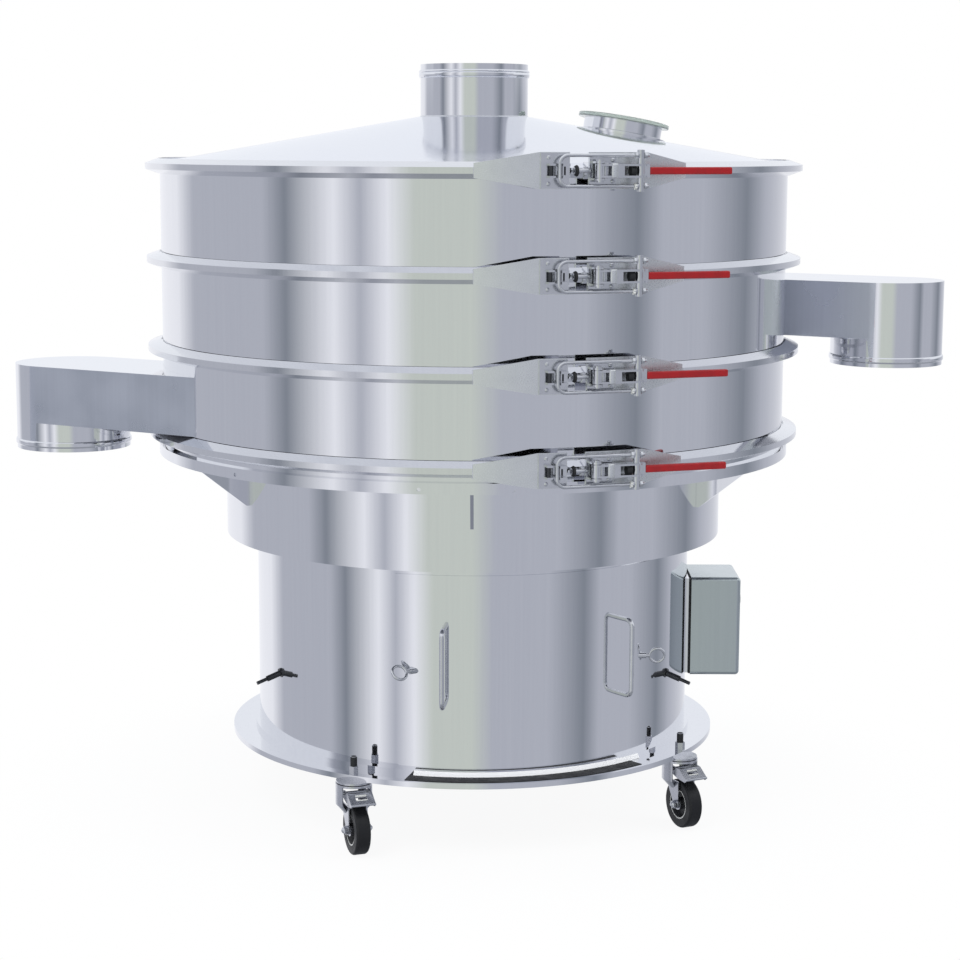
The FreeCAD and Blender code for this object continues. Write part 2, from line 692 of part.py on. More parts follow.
def base_plate():
    plate = Part.makeCylinder(BASE_PLATE_R, BASE_PLATE_T, V(0, 0, BASE_TOP - BASE_PLATE_T))
    holes = [turned(Part.makeCylinder(STUD_R + PIN_CLEAR, 2 * BASE_PLATE_T,
                                      V(CASTER_R, 0, BASE_TOP - 1.5 * BASE_PLATE_T)), bearing)
             for bearing in CASTER_BEARINGS]
    return plate.cut(Part.makeCompound(holes))


def access_panel():
    outline = [(BASE_DRUM_R, PANEL_BOTTOM), (PANEL_R, PANEL_BOTTOM), (PANEL_R, PANEL_TOP),
               (BASE_DRUM_R, PANEL_TOP)]
    return revolved(outline, 2 * PANEL_HALF_ANGLE, PANEL_BEARING - PANEL_HALF_ANGLE)


def handle():
    """D-handle of round bar, standing on the panel along +X."""
    root = PANEL_R
    out = root + HANDLE_REACH
    bend = out - HANDLE_CORNER_R
    parts = [rod(HANDLE_ROD_R, (out, 0, HANDLE_BOTTOM + HANDLE_CORNER_R),
                 (out, 0, HANDLE_TOP - HANDLE_CORNER_R))]
    for z, side in ((HANDLE_BOTTOM, -1), (HANDLE_TOP, 1)):
        parts.append(rod(HANDLE_ROD_R, (root, 0, z), (bend, 0, z)))
        section = Part.Face(Part.Wire(Part.makeCircle(HANDLE_ROD_R, V(bend, 0, z), V(1, 0, 0))))
        centre = V(bend, 0, z - side * HANDLE_CORNER_R)
        parts.append(section.revolve(centre, V(0, side, 0), 90.0))
    return joined(parts)


def panel_handles():
    return Part.makeCompound([turned(handle(), bearing) for bearing in HANDLE_BEARINGS])


def eye_bolt(bearing, lean, roll):
    """Ring-headed screw on the panel; its stem leans from the radial line, away from the middle."""
    ring = Part.makeTorus(EYE_R, EYE_WIRE_R, V(EYE_REACH, 0, 0), V(0, 1, 0))
    ring.rotate(V(0, 0, 0), V(1, 0, 0), roll)
    piece = joined([ring, rod(EYE_SHANK_R, (-OVERCUT, 0, 0), (EYE_REACH - EYE_R, 0, 0)),
                    rod(EYE_NUT_R, (-OVERCUT, 0, 0), (EYE_NUT_L, 0, 0))])
    piece = moved(turned(piece, lean), PANEL_R, 0, EYE_Z)
    panel = Part.makeCylinder(PANEL_R, 4 * EYE_R, V(0, 0, EYE_Z - 2 * EYE_R))
    return turned(piece.cut(panel), bearing)


def eye_bolts():
    return Part.makeCompound([eye_bolt(*place) for place in zip(EYE_BEARINGS, EYE_LEANS, EYE_ROLLS)])


def side_stud():
    """Tilted stud along +X: collar, sleeve and thinner tip."""
    parts = [rod(STUD_FLANGE_R, (-OVERCUT, 0, 0), (STUD_FLANGE_T, 0, 0)),
             rod(STUD_SLEEVE_R, (-OVERCUT, 0, 0), (STUD_SLEEVE_L, 0, 0)),
             rod(STUD_TIP_R, (-OVERCUT, 0, 0), (STUD_SLEEVE_L + STUD_TIP_L, 0, 0))]
    stud = joined(parts)
    stud.rotate(V(0, 0, 0), V(0, 1, 0), STUD_TILT)
    drum = Part.makeCylinder(BASE_DRUM_R, 4 * STUD_SLEEVE_L, V(0, 0, STUD_Z - 2 * STUD_SLEEVE_L))
    return moved(stud, BASE_DRUM_R, 0, STUD_Z).cut(drum)


def side_studs():
    return Part.makeCompound([turned(side_stud(), bearing) for bearing in STUD_BEARINGS])


def box_saddle():
    """Mount between the drum and the box, with the gasket the box closes on."""
    half = BOX_HALF - SADDLE_INSET
    seat = block(BASE_DRUM_R / 2, BOX_BACK - BOX_GASKET_T, -half, half, BOX_BOTTOM + SADDLE_END_INSET,
                 BOX_TOP - SADDLE_END_INSET)
    drum = Part.makeCylinder(BASE_DRUM_R, BOX_TOP, V(0, 0, BASE_TOP))
    return turned(seat.cut(drum), BOX_BEARING)


def box_gasket():
    half = BOX_HALF - BOX_GASKET_INSET
    return turned(block(BOX_BACK - BOX_GASKET_T, BOX_BACK, -half, half, BOX_BOTTOM + BOX_GASKET_INSET,
                        BOX_TOP - BOX_GASKET_INSET), BOX_BEARING)


def outer_edges(shape, x):
    return [edge for edge in shape.Edges if edge.CenterOfMass.x > x]


def box_cover():
    """Cover with rounded edges and a low latch on its outer face."""
    body = block(BOX_BACK, BOX_FRONT, -BOX_HALF, BOX_HALF, BOX_BOTTOM, BOX_TOP)
    body = body.makeFillet(BOX_CORNER_R, outer_edges(body, BOX_BACK + LAP))
    latch = block(BOX_FRONT - LATCH_T, BOX_FRONT + LATCH_T, -LATCH_HALF_W, LATCH_HALF_W,
                  LATCH_Z - LATCH_HALF_H, LATCH_Z + LATCH_HALF_H)
    latch = latch.makeFillet(LATCH_ROUND, outer_edges(latch, BOX_FRONT + LATCH_T - LAP))
    return turned(body.fuse(latch).removeSplitter(), BOX_BEARING)


def switch_knob():
    knob = rod(KNOB_R, (BOX_FRONT, 0, KNOB_Z), (BOX_FRONT + KNOB_L, 0, KNOB_Z))
    return turned(knob.makeFillet(KNOB_ROUND, outer_edges(knob, BOX_FRONT + KNOB_L - LAP)), BOX_BEARING)


def caster_heads():
    """Stud, nut, cap and the fixed bearing plate of each caster."""
    under = BASE_TOP - BASE_PLATE_T
    collar = HEAD_T + HEAD_GAP - SEAT_GAP
    nut = hexagon(NUT_AF, NUT_H, CASTER_R, 0, BASE_TOP)
    nut.rotate(V(CASTER_R, 0, 0), UP, 30.0)
    head = joined([Part.makeCylinder(HEAD_R, HEAD_T, V(CASTER_R, 0, under - HEAD_T)),
                   Part.makeCylinder(COLLAR_R, collar, V(CASTER_R, 0, under - collar)),
                   Part.makeCylinder(STUD_R, BASE_PLATE_T + NUT_H + CAP_H, V(CASTER_R, 0, under)), nut,
                   Part.makeCylinder(STUD_R + CAP_WALL, CAP_H, V(CASTER_R, 0, BASE_TOP + NUT_H))])
    return Part.makeCompound([turned(head, bearing) for bearing in CASTER_BEARINGS])


def crown_top():
    return BASE_TOP - BASE_PLATE_T - HEAD_T - HEAD_GAP


def at_caster(shape, index):
    """Place a caster piece modelled about its swivel axis with its trail along +X."""
    bearing = math.radians(CASTER_BEARINGS[index])
    piece = turned(shape, CASTER_HEADINGS[index])
    return moved(piece, CASTER_R * math.cos(bearing), CASTER_R * math.sin(bearing))


def fork_side(side):
    """One side of the fork: a round apron under the crown, a shoulder, and a flat leg to the axle."""
    under = crown_top() - CROWN_T
    shoulder = under - APRON_DROP
    waist = shoulder - SHOULDER_DROP
    outline = [(CROWN_R - LEG_T, under + LAP), (CROWN_R, under + LAP), (CROWN_R, shoulder),
               (WAIST_R, waist), (WAIST_R - LEG_T, waist), (CROWN_R - LEG_T, shoulder)]
    start = APRON_START if side > 0 else -APRON_END
    apron = revolved(outline, APRON_END - APRON_START, start)
    apron = apron.cut(block(-CROWN_R, CROWN_R, -LEG_IN, LEG_IN, waist - LAP, under + 2 * LAP))
    y0 = LEG_IN if side > 0 else -LEG_IN - LEG_T
    face = polygon_face([(-LEG_BACK, y0, shoulder), (LEG_FRONT, y0, shoulder),
                         (TRAIL + LEG_EYE_R, y0, WHEEL_R), (TRAIL - LEG_EYE_R, y0, WHEEL_R)])
    eye = Part.makeCylinder(LEG_EYE_R, LEG_T, V(TRAIL, y0, WHEEL_R), V(0, 1, 0))
    return joined([apron, face.extrude(V(0, LEG_T, 0)), eye])


def caster_fork(index):
    """Crown, two sides, the axle with its nuts, and the pedal's pin."""
    top = crown_top()
    pin_z = top - PEDAL_PIN_DROP
    outer = LEG_IN + LEG_T
    parts = [Part.makeCylinder(CROWN_R, CROWN_T, V(0, 0, top - CROWN_T)), fork_side(1), fork_side(-1),
             rod(AXLE_R, (TRAIL, -outer, WHEEL_R), (TRAIL, outer, WHEEL_R)),
             rod(PEDAL_PIN_R, (PEDAL_PIN_X, -PEDAL_PIN_HALF, pin_z), (PEDAL_PIN_X, PEDAL_PIN_HALF, pin_z))]
    for y0 in (-outer - AXLE_NUT_T, outer):
        parts.append(Part.makeCylinder(AXLE_NUT_R, AXLE_NUT_T, V(TRAIL, y0, WHEEL_R), V(0, 1, 0)))
    return at_caster(joined(parts), index)


def about_axle(face, index):
    """Turn a (radius, across) face about the axle of a caster."""
    solid = face.revolve(V(0, 0, 0), V(0, 1, 0), 360.0)
    return at_caster(moved(solid, TRAIL, 0, WHEEL_R), index)


def caster_wheel(index):
    """Core with a hub, a thin recessed web and a rim."""
    bore = AXLE_R + PIN_CLEAR
    rim = TYRE_BORE - RIM_T
    edge = WHEEL_HALF - RIM_INSET
    half = [(bore, HUB_HALF), (HUB_R, HUB_HALF), (HUB_R, CORE_HALF), (rim - CORE_INSET, CORE_HALF),
            (rim, edge), (TYRE_BORE, edge)]
    outline = half + [(radius, -y) for radius, y in reversed(half)]
    return about_axle(polygon_face([(radius, y, 0.0) for radius, y in outline]), index)


def caster_tyre(index):
    """Solid tyre: flat sides, round shoulders and a flat tread."""
    shoulder = WHEEL_R - TREAD_ROUND
    middle = math.sqrt(0.5)
    corners = [V(TYRE_BORE, -WHEEL_HALF, 0), V(shoulder, -WHEEL_HALF, 0), V(WHEEL_R, -TREAD_HALF, 0),
               V(WHEEL_R, TREAD_HALF, 0), V(shoulder, WHEEL_HALF, 0), V(TYRE_BORE, WHEEL_HALF, 0)]
    round_x = shoulder + TREAD_ROUND * middle
    round_y = TREAD_HALF + (WHEEL_HALF - TREAD_HALF) * middle
    edges = [Part.makeLine(corners[0], corners[1]),
             Part.Arc(corners[1], V(round_x, -round_y, 0), corners[2]).toShape(),
             Part.makeLine(corners[2], corners[3]),
             Part.Arc(corners[3], V(round_x, round_y, 0), corners[4]).toShape(),
             Part.makeLine(corners[4], corners[5]), Part.makeLine(corners[5], corners[0])]
    return about_axle(Part.Face(Part.Wire(edges)), index)


def caster_pedal(index):
    """Brake pedal: slotted sloping sheet with a rolled lip, its flanges turning on the fork's pin."""
    x, z = PEDAL_PIN_X, crown_top() - PEDAL_PIN_DROP
    high = crown_top() - PEDAL_DROP
    low = high - math.tan(math.radians(PEDAL_SLOPE)) * (PEDAL_END - PEDAL_START)
    width = PEDAL_IN + PEDAL_T
    lip_z = low - PEDAL_T / 2.0
    sheet = polygon_face([(PEDAL_START, -width, high), (PEDAL_END, -width, low),
                          (PEDAL_END, -width, low - PEDAL_T), (PEDAL_START, -width, high - PEDAL_T)])
    parts = [sheet.extrude(V(0, 2 * width, 0)),
             rod(PEDAL_LIP_R, (PEDAL_END, -width, lip_z), (PEDAL_END, width, lip_z))]
    for y in (-width, PEDAL_IN):
        flange = polygon_face([(x, y, z + PEDAL_FLANGE_RISE), (PEDAL_START, y, high), (PEDAL_END, y, low),
                               (PEDAL_END - PEDAL_TOE, y, low - PEDAL_TOE_DROP),
                               (x + 3 * PEDAL_TAIL, y, z - PEDAL_FLANGE_DROP),
                               (x - PEDAL_TAIL, y, z - PEDAL_FLANGE_DROP + PEDAL_TAIL),
                               (x - PEDAL_TAIL, y, z)])
        parts.append(flange.extrude(V(0, PEDAL_T, 0)))
    slot = block(PEDAL_SLOT_LOW, PEDAL_SLOT_HIGH, -PEDAL_SLOT_HALF, PEDAL_SLOT_HALF, low - OVERCUT, high)
    hole = rod(PEDAL_PIN_R + PIN_CLEAR, (x, -width - LAP, z), (x, width + LAP, z))
    return at_caster(joined(parts).cut(slot).cut(hole), index)


def build():
    nodes = {
        "base_plate": base_plate(),
        "base_drum": base_drum(),
        "access_panel": access_panel(),
        "panel_handles": panel_handles(),
        "eye_bolts": eye_bolts(),
        "side_studs": side_studs(),
        "box_saddle": box_saddle(),
        "box_gasket": box_gasket(),
        "box_cover": box_cover(),
        "switch_knob": switch_knob(),
        "spring_mounts": spring_mounts(),
        "upper_drum": upper_drum(),
        "gusset_plates": gussets(),
        "table_ring": table_ring(),
        "bottom_frame": with_window(frame(SEAM_4, SEAM_3), CHUTE_LEFT),
        "middle_frame": with_window(frame(SEAM_3, SEAM_2), CHUTE_RIGHT),
        "top_frame": with_window(frame(SEAM_2, SEAM_1), CHUTE_REAR),
        "chute_left": chute(CHUTE_LEFT),
        "chute_right": chute(CHUTE_RIGHT),
        "chute_rear": chute(CHUTE_REAR),
        "upper_screen": screen(SEAM_2),
        "lower_screen": screen(SEAM_3),
        "rim_gaskets": rim_gaskets(),
        "lid_cone": lid(),
        "inlet_spout": inlet_spout(),
        "port_collar": port_collar(),
        "port_cover": port_cover(),
        "caster_heads": caster_heads(),
    }
    for number, seam in enumerate(SEAMS, 1):
        nodes["clamp_ring_%d" % number] = clamp_ring(seam)
        nodes["clamp_lever_%d" % number] = clamp_lever(seam)
        nodes["clamp_grip_%d" % number] = clamp_grip(seam)
        nodes["clamp_bail_%d" % number] = clamp_bail(seam)
    for index in range(len(CASTER_BEARINGS)):
        nodes["caster_fork_%d" % (index + 1)] = caster_fork(index)
        nodes["caster_wheel_%d" % (index + 1)] = caster_wheel(index)
        nodes["caster_tyre_%d" % (index + 1)] = caster_tyre(index)
        nodes["caster_pedal_%d" % (index + 1)] = caster_pedal(index)
    return nodes


os.makedirs("parts", exist_ok=True)
for name, shape in build().items():
    shape.exportStep("parts/%s.step" % name)
    print(name, len(shape.Solids), round(shape.Volume / 1000.0, 1), shape.isValid())
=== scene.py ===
"""Round vibrating screen in polished stainless steel: finishes, small fittings and the studio."""
import json
import math

import bmesh
import bpy
from bpy.props import FloatProperty, PointerProperty
from mathutils import Matrix, Vector

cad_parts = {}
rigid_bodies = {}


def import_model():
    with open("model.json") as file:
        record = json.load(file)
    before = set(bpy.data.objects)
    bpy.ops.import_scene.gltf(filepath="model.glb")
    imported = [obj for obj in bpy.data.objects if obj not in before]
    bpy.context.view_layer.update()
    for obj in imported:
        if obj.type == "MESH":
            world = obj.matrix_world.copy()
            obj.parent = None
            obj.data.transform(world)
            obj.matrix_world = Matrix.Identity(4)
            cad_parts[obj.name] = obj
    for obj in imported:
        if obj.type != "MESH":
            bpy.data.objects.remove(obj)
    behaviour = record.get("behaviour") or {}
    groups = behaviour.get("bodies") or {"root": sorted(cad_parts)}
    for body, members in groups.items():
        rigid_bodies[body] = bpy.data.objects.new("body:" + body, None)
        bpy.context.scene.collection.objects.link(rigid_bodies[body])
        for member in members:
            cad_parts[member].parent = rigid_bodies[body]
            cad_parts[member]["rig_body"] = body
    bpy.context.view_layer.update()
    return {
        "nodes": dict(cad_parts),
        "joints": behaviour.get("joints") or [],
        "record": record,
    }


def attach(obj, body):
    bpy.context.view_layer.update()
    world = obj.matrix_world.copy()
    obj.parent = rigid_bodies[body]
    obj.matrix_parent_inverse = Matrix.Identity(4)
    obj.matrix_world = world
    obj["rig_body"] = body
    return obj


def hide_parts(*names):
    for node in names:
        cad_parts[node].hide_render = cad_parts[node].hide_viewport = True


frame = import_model()

bl_info = {
    "name": "Vibrating screen",
    "version": (1, 0, 0),
    "blender": (4, 5, 0),
    "location": "View3D > Sidebar > Sieve",
    "description": "Dresses the vibrating screen's parts and sets its studio",
    "category": "Object",
}

MM = 0.001
EPSILON = 1e-6
NODES = frame["nodes"]
JOINTS = {joint["name"]: joint for joint in frame["joints"]}
CLAMPS = (1, 2, 3, 4)
CASTERS = (1, 2, 3, 4)

# Sizes of the carried-over parts that the fittings sit on: millimetres, and degrees for bearings.
# Base plate with its curb, and the access panel on the base drum.
BASE_TOP = 147.0
CURB_H = 9.0
CURB_R = 438.0
PANEL_R = 433.0
PANEL_T = 3.0
PANEL_RISE = 24.0
PANEL_START = -79.0
PANEL_END = -7.0
# Toggle clamps, in the frame of toggle_place.
CLAMP_R = 638.0
TOGGLE_PLATE_T = 3.0
CATCH_PLATE_T = 4.0
CATCH_Y = -71.5
PIVOT_X = 662.0
TRUNNION_X = 660.0
SPINDLE_X = 652.0
LEVER_ARM = 75.0
TRUNNION_R = 6.5
TRUNNION_HALF = 35.0
BAIL_ROD_R = 3.0
BAIL_HALF = 25.8
# Casters, in the frame of caster_place.
TRAIL = 18.0
WHEEL_R = 47.0
HUB_R = 12.2
RIM_R = 27.5
AXLE_END = 22.5
NUT_H = 16.0
PEDAL_SLOPE = 32.0
PEDAL_START = 37.0
PEDAL_Z = 121.0
# Lid, spouts and chutes; heights count from each piece's mount or cover.
LID_SLOPE = 10.0
INLET_R = 104.7
INLET_FOOT = -93.9
PORT_R = 78.0
PORT_FOOT = -26.5
NECK_R = 110.0
NECK_TOP = 49.0

# Up to SMOOTH_ANGLE an edge is soft. A face within ROLLED of its axis's radius, whose normal has
# at least LEAST_LEVEL in the level plane, is part of a rolled sheet.
SMOOTH_ANGLE = math.radians(32.0)
SMOOTH = math.cos(SMOOTH_ANGLE)
ROLLED = math.cos(math.radians(8.0))
LEAST_LEVEL = 0.05


# Colours and nodes.

def linear(code):
    """Linear colour of an sRGB hex code."""
    parts = [int(code[k:k + 2], 16) / 255.0 for k in (0, 2, 4)]
    return tuple(p / 12.92 if p <= 0.04045 else ((p + 0.055) / 1.055) ** 2.4
                 for p in parts) + (1.0,)


def add_node(tree, kind, inputs=None, **settings):
    """Add a node, set its properties, and fill or link its sockets."""
    node = tree.nodes.new(kind)
    for name, value in settings.items():
        setattr(node, name, value)
    for socket, value in (inputs or {}).items():
        if isinstance(value, bpy.types.NodeSocket):
            tree.links.new(value, node.inputs[socket])
        else:
            node.inputs[socket].default_value = value
    return node


def start_material(name):
    """A new material and its empty node tree."""
    material = bpy.data.materials.new(name)
    material.use_nodes = True
    tree = material.node_tree
    tree.nodes.clear()
    return material, tree


def set_ramp(ramp, stops):
    """Fill a colour ramp from (position, linear colour) pairs."""
    elements = ramp.elements
    while len(elements) > 1:
        elements.remove(elements[-1])
    elements[0].position, elements[0].color = stops[0]
    for position, colour in stops[1:]:
        elements.new(position).color = colour


def object_coordinates(tree, scale=(1.0, 1.0, 1.0)):
    """The object's own coordinates, in metres times the scale."""
    place = add_node(tree, "ShaderNodeTexCoord")
    stretched = add_node(tree, "ShaderNodeMapping",
                         {"Vector": place.outputs["Object"], "Scale": scale})
    return stretched.outputs[0]


def finish_surface(tree, tone, tints, blur, roughness, relief, strength, depth, **sockets):
    """Close a material whose colour, roughness and relief each follow a noise node.

    A noise node's values lie mostly between 0.3 and 0.7, which the roughness spans.
    """
    colour = add_node(tree, "ShaderNodeMix",
                      {"Factor": tone.outputs[0], "A": linear(tints[0]), "B": linear(tints[1])},
                      data_type="RGBA")
    rough = add_node(tree, "ShaderNodeMapRange",
                     {"Value": blur.outputs[0], "From Min": 0.3, "From Max": 0.7,
                      "To Min": roughness[0], "To Max": roughness[1]})
    bump = add_node(tree, "ShaderNodeBump",
                    {"Height": relief.outputs[0], "Strength": strength, "Distance": depth})
    shader = add_node(tree, "ShaderNodeBsdfPrincipled",
                      {"Base Color": colour.outputs["Result"], "Roughness": rough.outputs[0],
                       "Normal": bump.outputs[0], **sockets})
    add_node(tree, "ShaderNodeOutputMaterial", {"Surface": shader.outputs[0]})


# Steel sheet, polished after welding: the eye sees soft upright streaks and slow waves in what it
# reflects. The streaks are 7 mm wide and 60 times as long, coarser than real polishing lines, so
# that they show; the waves are 260 mm long, and four times as much up the sheet.
def polished_sheet(name, tint, shade, roughness, streak_mm=7.0, wave=0.05):
    material, tree = start_material(name)
    across = 1.0 / (streak_mm * MM)
    streaks = add_node(tree, "ShaderNodeTexNoise",
                       {"Vector": object_coordinates(tree, (across, across, across / 60.0)),
                        "Scale": 1.0, "Detail": 3.0, "Roughness": 0.6})
    # Clouds 110 mm across, where the polisher stayed longer.
    clouds = add_node(tree, "ShaderNodeTexNoise",
                      {"Vector": object_coordinates(tree), "Scale": 9.0, "Detail": 4.0})
    waves = add_node(tree, "ShaderNodeTexNoise",
                     {"Vector": object_coordinates(tree, (1.0, 1.0, 0.25)),
                      "Scale": 1.0 / (260.0 * MM), "Detail": 1.0})
    finish_surface(tree, streaks, (tint, shade), clouds, (roughness * 0.75, roughness * 1.35),
                   waves, wave, 0.02, Metallic=1.0)
    return material


# Small steel parts, tumbled, pressed or left as milled: a fine grain without direction breaks up
# their highlights, and wear in patches of 22 mm changes their tone.
def tumbled_steel(name, tint, shade, roughness, grain_mm=1.6):
    material, tree = start_material(name)
    grain = add_node(tree, "ShaderNodeTexNoise",
                     {"Vector": object_coordinates(tree), "Scale": 1.0 / (grain_mm * MM),
                      "Detail": 3.0})
    wear = add_node(tree, "ShaderNodeTexNoise",
                    {"Vector": object_coordinates(tree), "Scale": 45.0, "Detail": 2.0})
    finish_surface(tree, wear, (tint, shade), grain, (roughness * 0.7, roughness * 1.4),
                   grain, 0.02, 0.001, Metallic=1.0)
    return material


# Plastics and rubber: one body colour with slight mottling, in patches of 17 mm, and a moulded or
# dipped grain that softens the shine.
def moulded(name, tint, shade, roughness, grain_mm=2.0, grain_strength=0.1):
    material, tree = start_material(name)
    mottle = add_node(tree, "ShaderNodeTexNoise",
                      {"Vector": object_coordinates(tree), "Scale": 60.0, "Detail": 4.0})
    grain = add_node(tree, "ShaderNodeTexNoise",
                     {"Vector": object_coordinates(tree), "Scale": 1.0 / (grain_mm * MM),
                      "Detail": 2.0})
    finish_surface(tree, mottle, (tint, shade), mottle, (roughness * 0.85, roughness * 1.15),
                   grain, grain_strength, 0.0006, IOR=1.5)
    return material


# Cast acrylic: clear with a cool grey-green body and faint ripples 33 mm apart.
def clear_acrylic(name):
    material, tree = start_material(name)
    ripple = add_node(tree, "ShaderNodeTexNoise",
                      {"Vector": object_coordinates(tree), "Scale": 30.0, "Detail": 1.0})
    bump = add_node(tree, "ShaderNodeBump",
                    {"Height": ripple.outputs[0], "Strength": 0.05, "Distance": 0.002})
    shader = add_node(tree, "ShaderNodeBsdfPrincipled",
                      {"Base Color": linear("c4d0ca"), "Roughness": 0.06, "IOR": 1.49,
                       "Transmission Weight": 0.75, "Normal": bump.outputs[0]})
    add_node(tree, "ShaderNodeOutputMaterial", {"Surface": shader.outputs[0]})
    return material


# Woven wire seen as cloth: warp and weft alternate in brightness as painted light and shade of the
# crossing wires, drawn at 6 mm so that it shows.
def woven_wire(name):
    material, tree = start_material(name)
    thread = 1.0 / (6.0 * MM)
    # Painted light and shade: a pale and a dark tone in checks for the lit and shaded wires.
    weave = add_node(tree, "ShaderNodeTexChecker",
                     {"Vector": object_coordinates(tree, (thread, thread, 1.0)), "Scale": 1.0,
                      "Color1": linear("c2c4c8"), "Color2": linear("77797f")})
    shader = add_node(tree, "ShaderNodeBsdfPrincipled",
                      {"Base Color": weave.outputs["Color"], "Metallic": 1.0, "Roughness": 0.4})
    add_node(tree, "ShaderNodeOutputMaterial", {"Surface": shader.outputs[0]})
    return material


MATERIALS = {}


def make_materials():
    """Make every finish: its name, two tones and roughness, then what differs in its pattern."""
    MATERIALS.update({
        "sheet": polished_sheet("polished stainless sheet", "e8e9ec", "e0e1e6", 0.05),
        "lid": polished_sheet("polished stainless lid", "e8eaf0", "dfe1e8", 0.08, wave=0.03),
        "brushed": polished_sheet("brushed stainless sheet", "d6dae4", "ccd0d9", 0.3, wave=0.03),
        "plate": polished_sheet("satin stainless plate", "c3cbcc", "bbc3c5", 0.2, wave=0.03),
        "band": polished_sheet("polished clamp band", "e6e7ea", "dcdde1", 0.1, streak_mm=4.0),
        "satin": tumbled_steel("satin clamp end plate", "eff1f1", "e4e6e7", 0.3, grain_mm=1.2),
        "mill": tumbled_steel("mill-finished underside", "d4d5da", "c6c8ce", 0.55),
        "bright": tumbled_steel("bright stainless hardware", "e0e1e4", "c8cacf", 0.16),
        "zinc": tumbled_steel("zinc-plated pressing", "d5d6da", "b9bbc2", 0.26),
        "dark": tumbled_steel("oiled dark steel", "5a5b5e", "3c3d40", 0.34),
        "wire": woven_wire("woven stainless wire"),
        "rubber": moulded("moulded black rubber", "1d1e21", "141518", 0.62),
        "tread": moulded("solid tyre rubber", "0c0d11", "07080b", 0.5, grain_mm=3.0),
        "seal": moulded("white silicone seal", "fdfdfd", "f9f9f9", 0.4),
        "black": moulded("matt black nylon", "17181a", "0f1012", 0.42),
        "white": moulded("natural nylon block", "d9dad6", "c6c7c3", 0.38),
        "grip": moulded("dipped red PVC grip", "a5020b", "820209", 0.45, grain_mm=6.0,
                        grain_strength=0.3),
        "acrylic": clear_acrylic("cast acrylic cover"),
    })


# Mesh helpers. Every piece keeps its place in its mesh.

NUT_CHAMFER = 0.06  # as a share of the width across flats


def finish_piece(name, bm, material, body="machine", recalculate=True):
    """Make the mesh an object with smooth shading, a finish, a body and a material slot."""
    if recalculate:
        bmesh.ops.remove_doubles(bm, verts=bm.verts, dist=EPSILON)
        bmesh.ops.recalc_face_normals(bm, faces=bm.faces)
    mesh = bpy.data.meshes.new(name)
    bm.to_mesh(mesh)
    bm.free()
    mesh.shade_smooth()
    mesh.set_sharp_from_angle(angle=SMOOTH_ANGLE)
    mesh.materials.append(MATERIALS[material])
    piece = bpy.data.objects.new(name, mesh)
    bpy.context.scene.collection.objects.link(piece)
    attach(piece, body)
    return piece


def smooth_copy(node, material):
    """A merged copy of a CAD node, so that curved steel reflects without facets."""
    source = NODES[node]
    bm = bmesh.new()
    bm.from_mesh(source.data)
    bmesh.ops.remove_doubles(bm, verts=bm.verts, dist=2.0 * EPSILON)
    piece = finish_piece(node + "_skin", bm, material, source["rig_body"],
                         recalculate=False)
    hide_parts(node)
    return piece


def rolled_normals(piece, place):
    """Give sheet rolled about the place's Z axis the true normals of its cylinders and cones."""
    mesh = piece.data
    back, turn = place.inverted(), place.to_3x3()
    away = [(back @ vertex.co).to_2d().normalized() for vertex in mesh.vertices]
    normals = []
    for face in mesh.polygons:
        local = turn.transposed() @ face.normal
        level = local.to_2d()
        facing = [level.dot(away[index]) for index in face.vertices]
        rolled = (level.length > LEAST_LEVEL
                  and min(map(abs, facing)) > ROLLED * level.length)
        for index, part in zip(face.vertices, facing):
            if rolled:
                side = away[index] * math.copysign(level.length, part)
                normals.append(turn @ Vector((side.x, side.y, local.z)))
            else:
                normals.append(face.normal)
    mesh.normals_split_custom_set(normals)


def even_normals(piece):
    """Normals weighted by face area, so that flat faces stay flat beside their rounded edges."""
    mesh = piece.data
    facing = [face.normal.copy() for face in mesh.polygons]
    weighted = [face.normal * face.area for face in mesh.polygons]
    around = [[] for _ in mesh.vertices]
    for face in mesh.polygons:
        for index in face.vertices:
            around[index].append(face.index)
    normals = []
    for face in mesh.polygons:
        own = facing[face.index]
        for index in face.vertices:
            total = Vector()
            for other in around[index]:
                if own.dot(facing[other]) > SMOOTH:
                    total += weighted[other]
            normals.append(total.normalized())
    mesh.normals_split_custom_set(normals)


def paint_faces(piece, material, chosen):
    """Give another finish to the chosen faces."""
    mesh = piece.data
    mesh.materials.append(MATERIALS[material])
    for face in mesh.polygons:
        if chosen(face):
            face.material_index = len(mesh.materials) - 1


def connected(seeds):
    """Every vertex joined to the seeds by edges."""
    found, front = set(seeds), list(seeds)
    while front:
        vert = front.pop()
        for edge in vert.link_edges:
            other = edge.other_vert(vert)
            if other not in found:
                found.add(other)
                front.append(other)
    return list(found)


def edges_of(verts):
    return list({edge for vert in verts for edge in vert.link_edges})


def round_edges(bm, edges, width, segments):
    """Bevel edges of one solid, and return all its vertices."""
    made = bmesh.ops.bevel(bm, geom=edges, offset=width * MM, segments=segments, profile=0.5,
                           affect="EDGES", material=-1)
    return connected(made["verts"][:1])


def toward(start, direction):
    """Matrix that puts the local Z axis along a direction, at a start point; millimetres."""
    turn = Vector(direction).to_track_quat("Z", "Y").to_matrix().to_4x4()
    return Matrix.Translation(Vector(start) * MM) @ turn


def lathe(bm, outline, matrix, steps):
    """Spin an open (radius, height) outline once round the place's Z axis."""
    verts = [bm.verts.new((radius * MM, 0.0, height * MM)) for radius, height in outline]
    edges = [bm.edges.new(pair) for pair in zip(verts, verts[1:])]
    bmesh.ops.spin(bm, geom=verts + edges, cent=(0, 0, 0), axis=(0, 0, 1), angle=math.tau,
                   steps=steps, use_merge=True)
    bmesh.ops.transform(bm, matrix=matrix, verts=connected(verts))


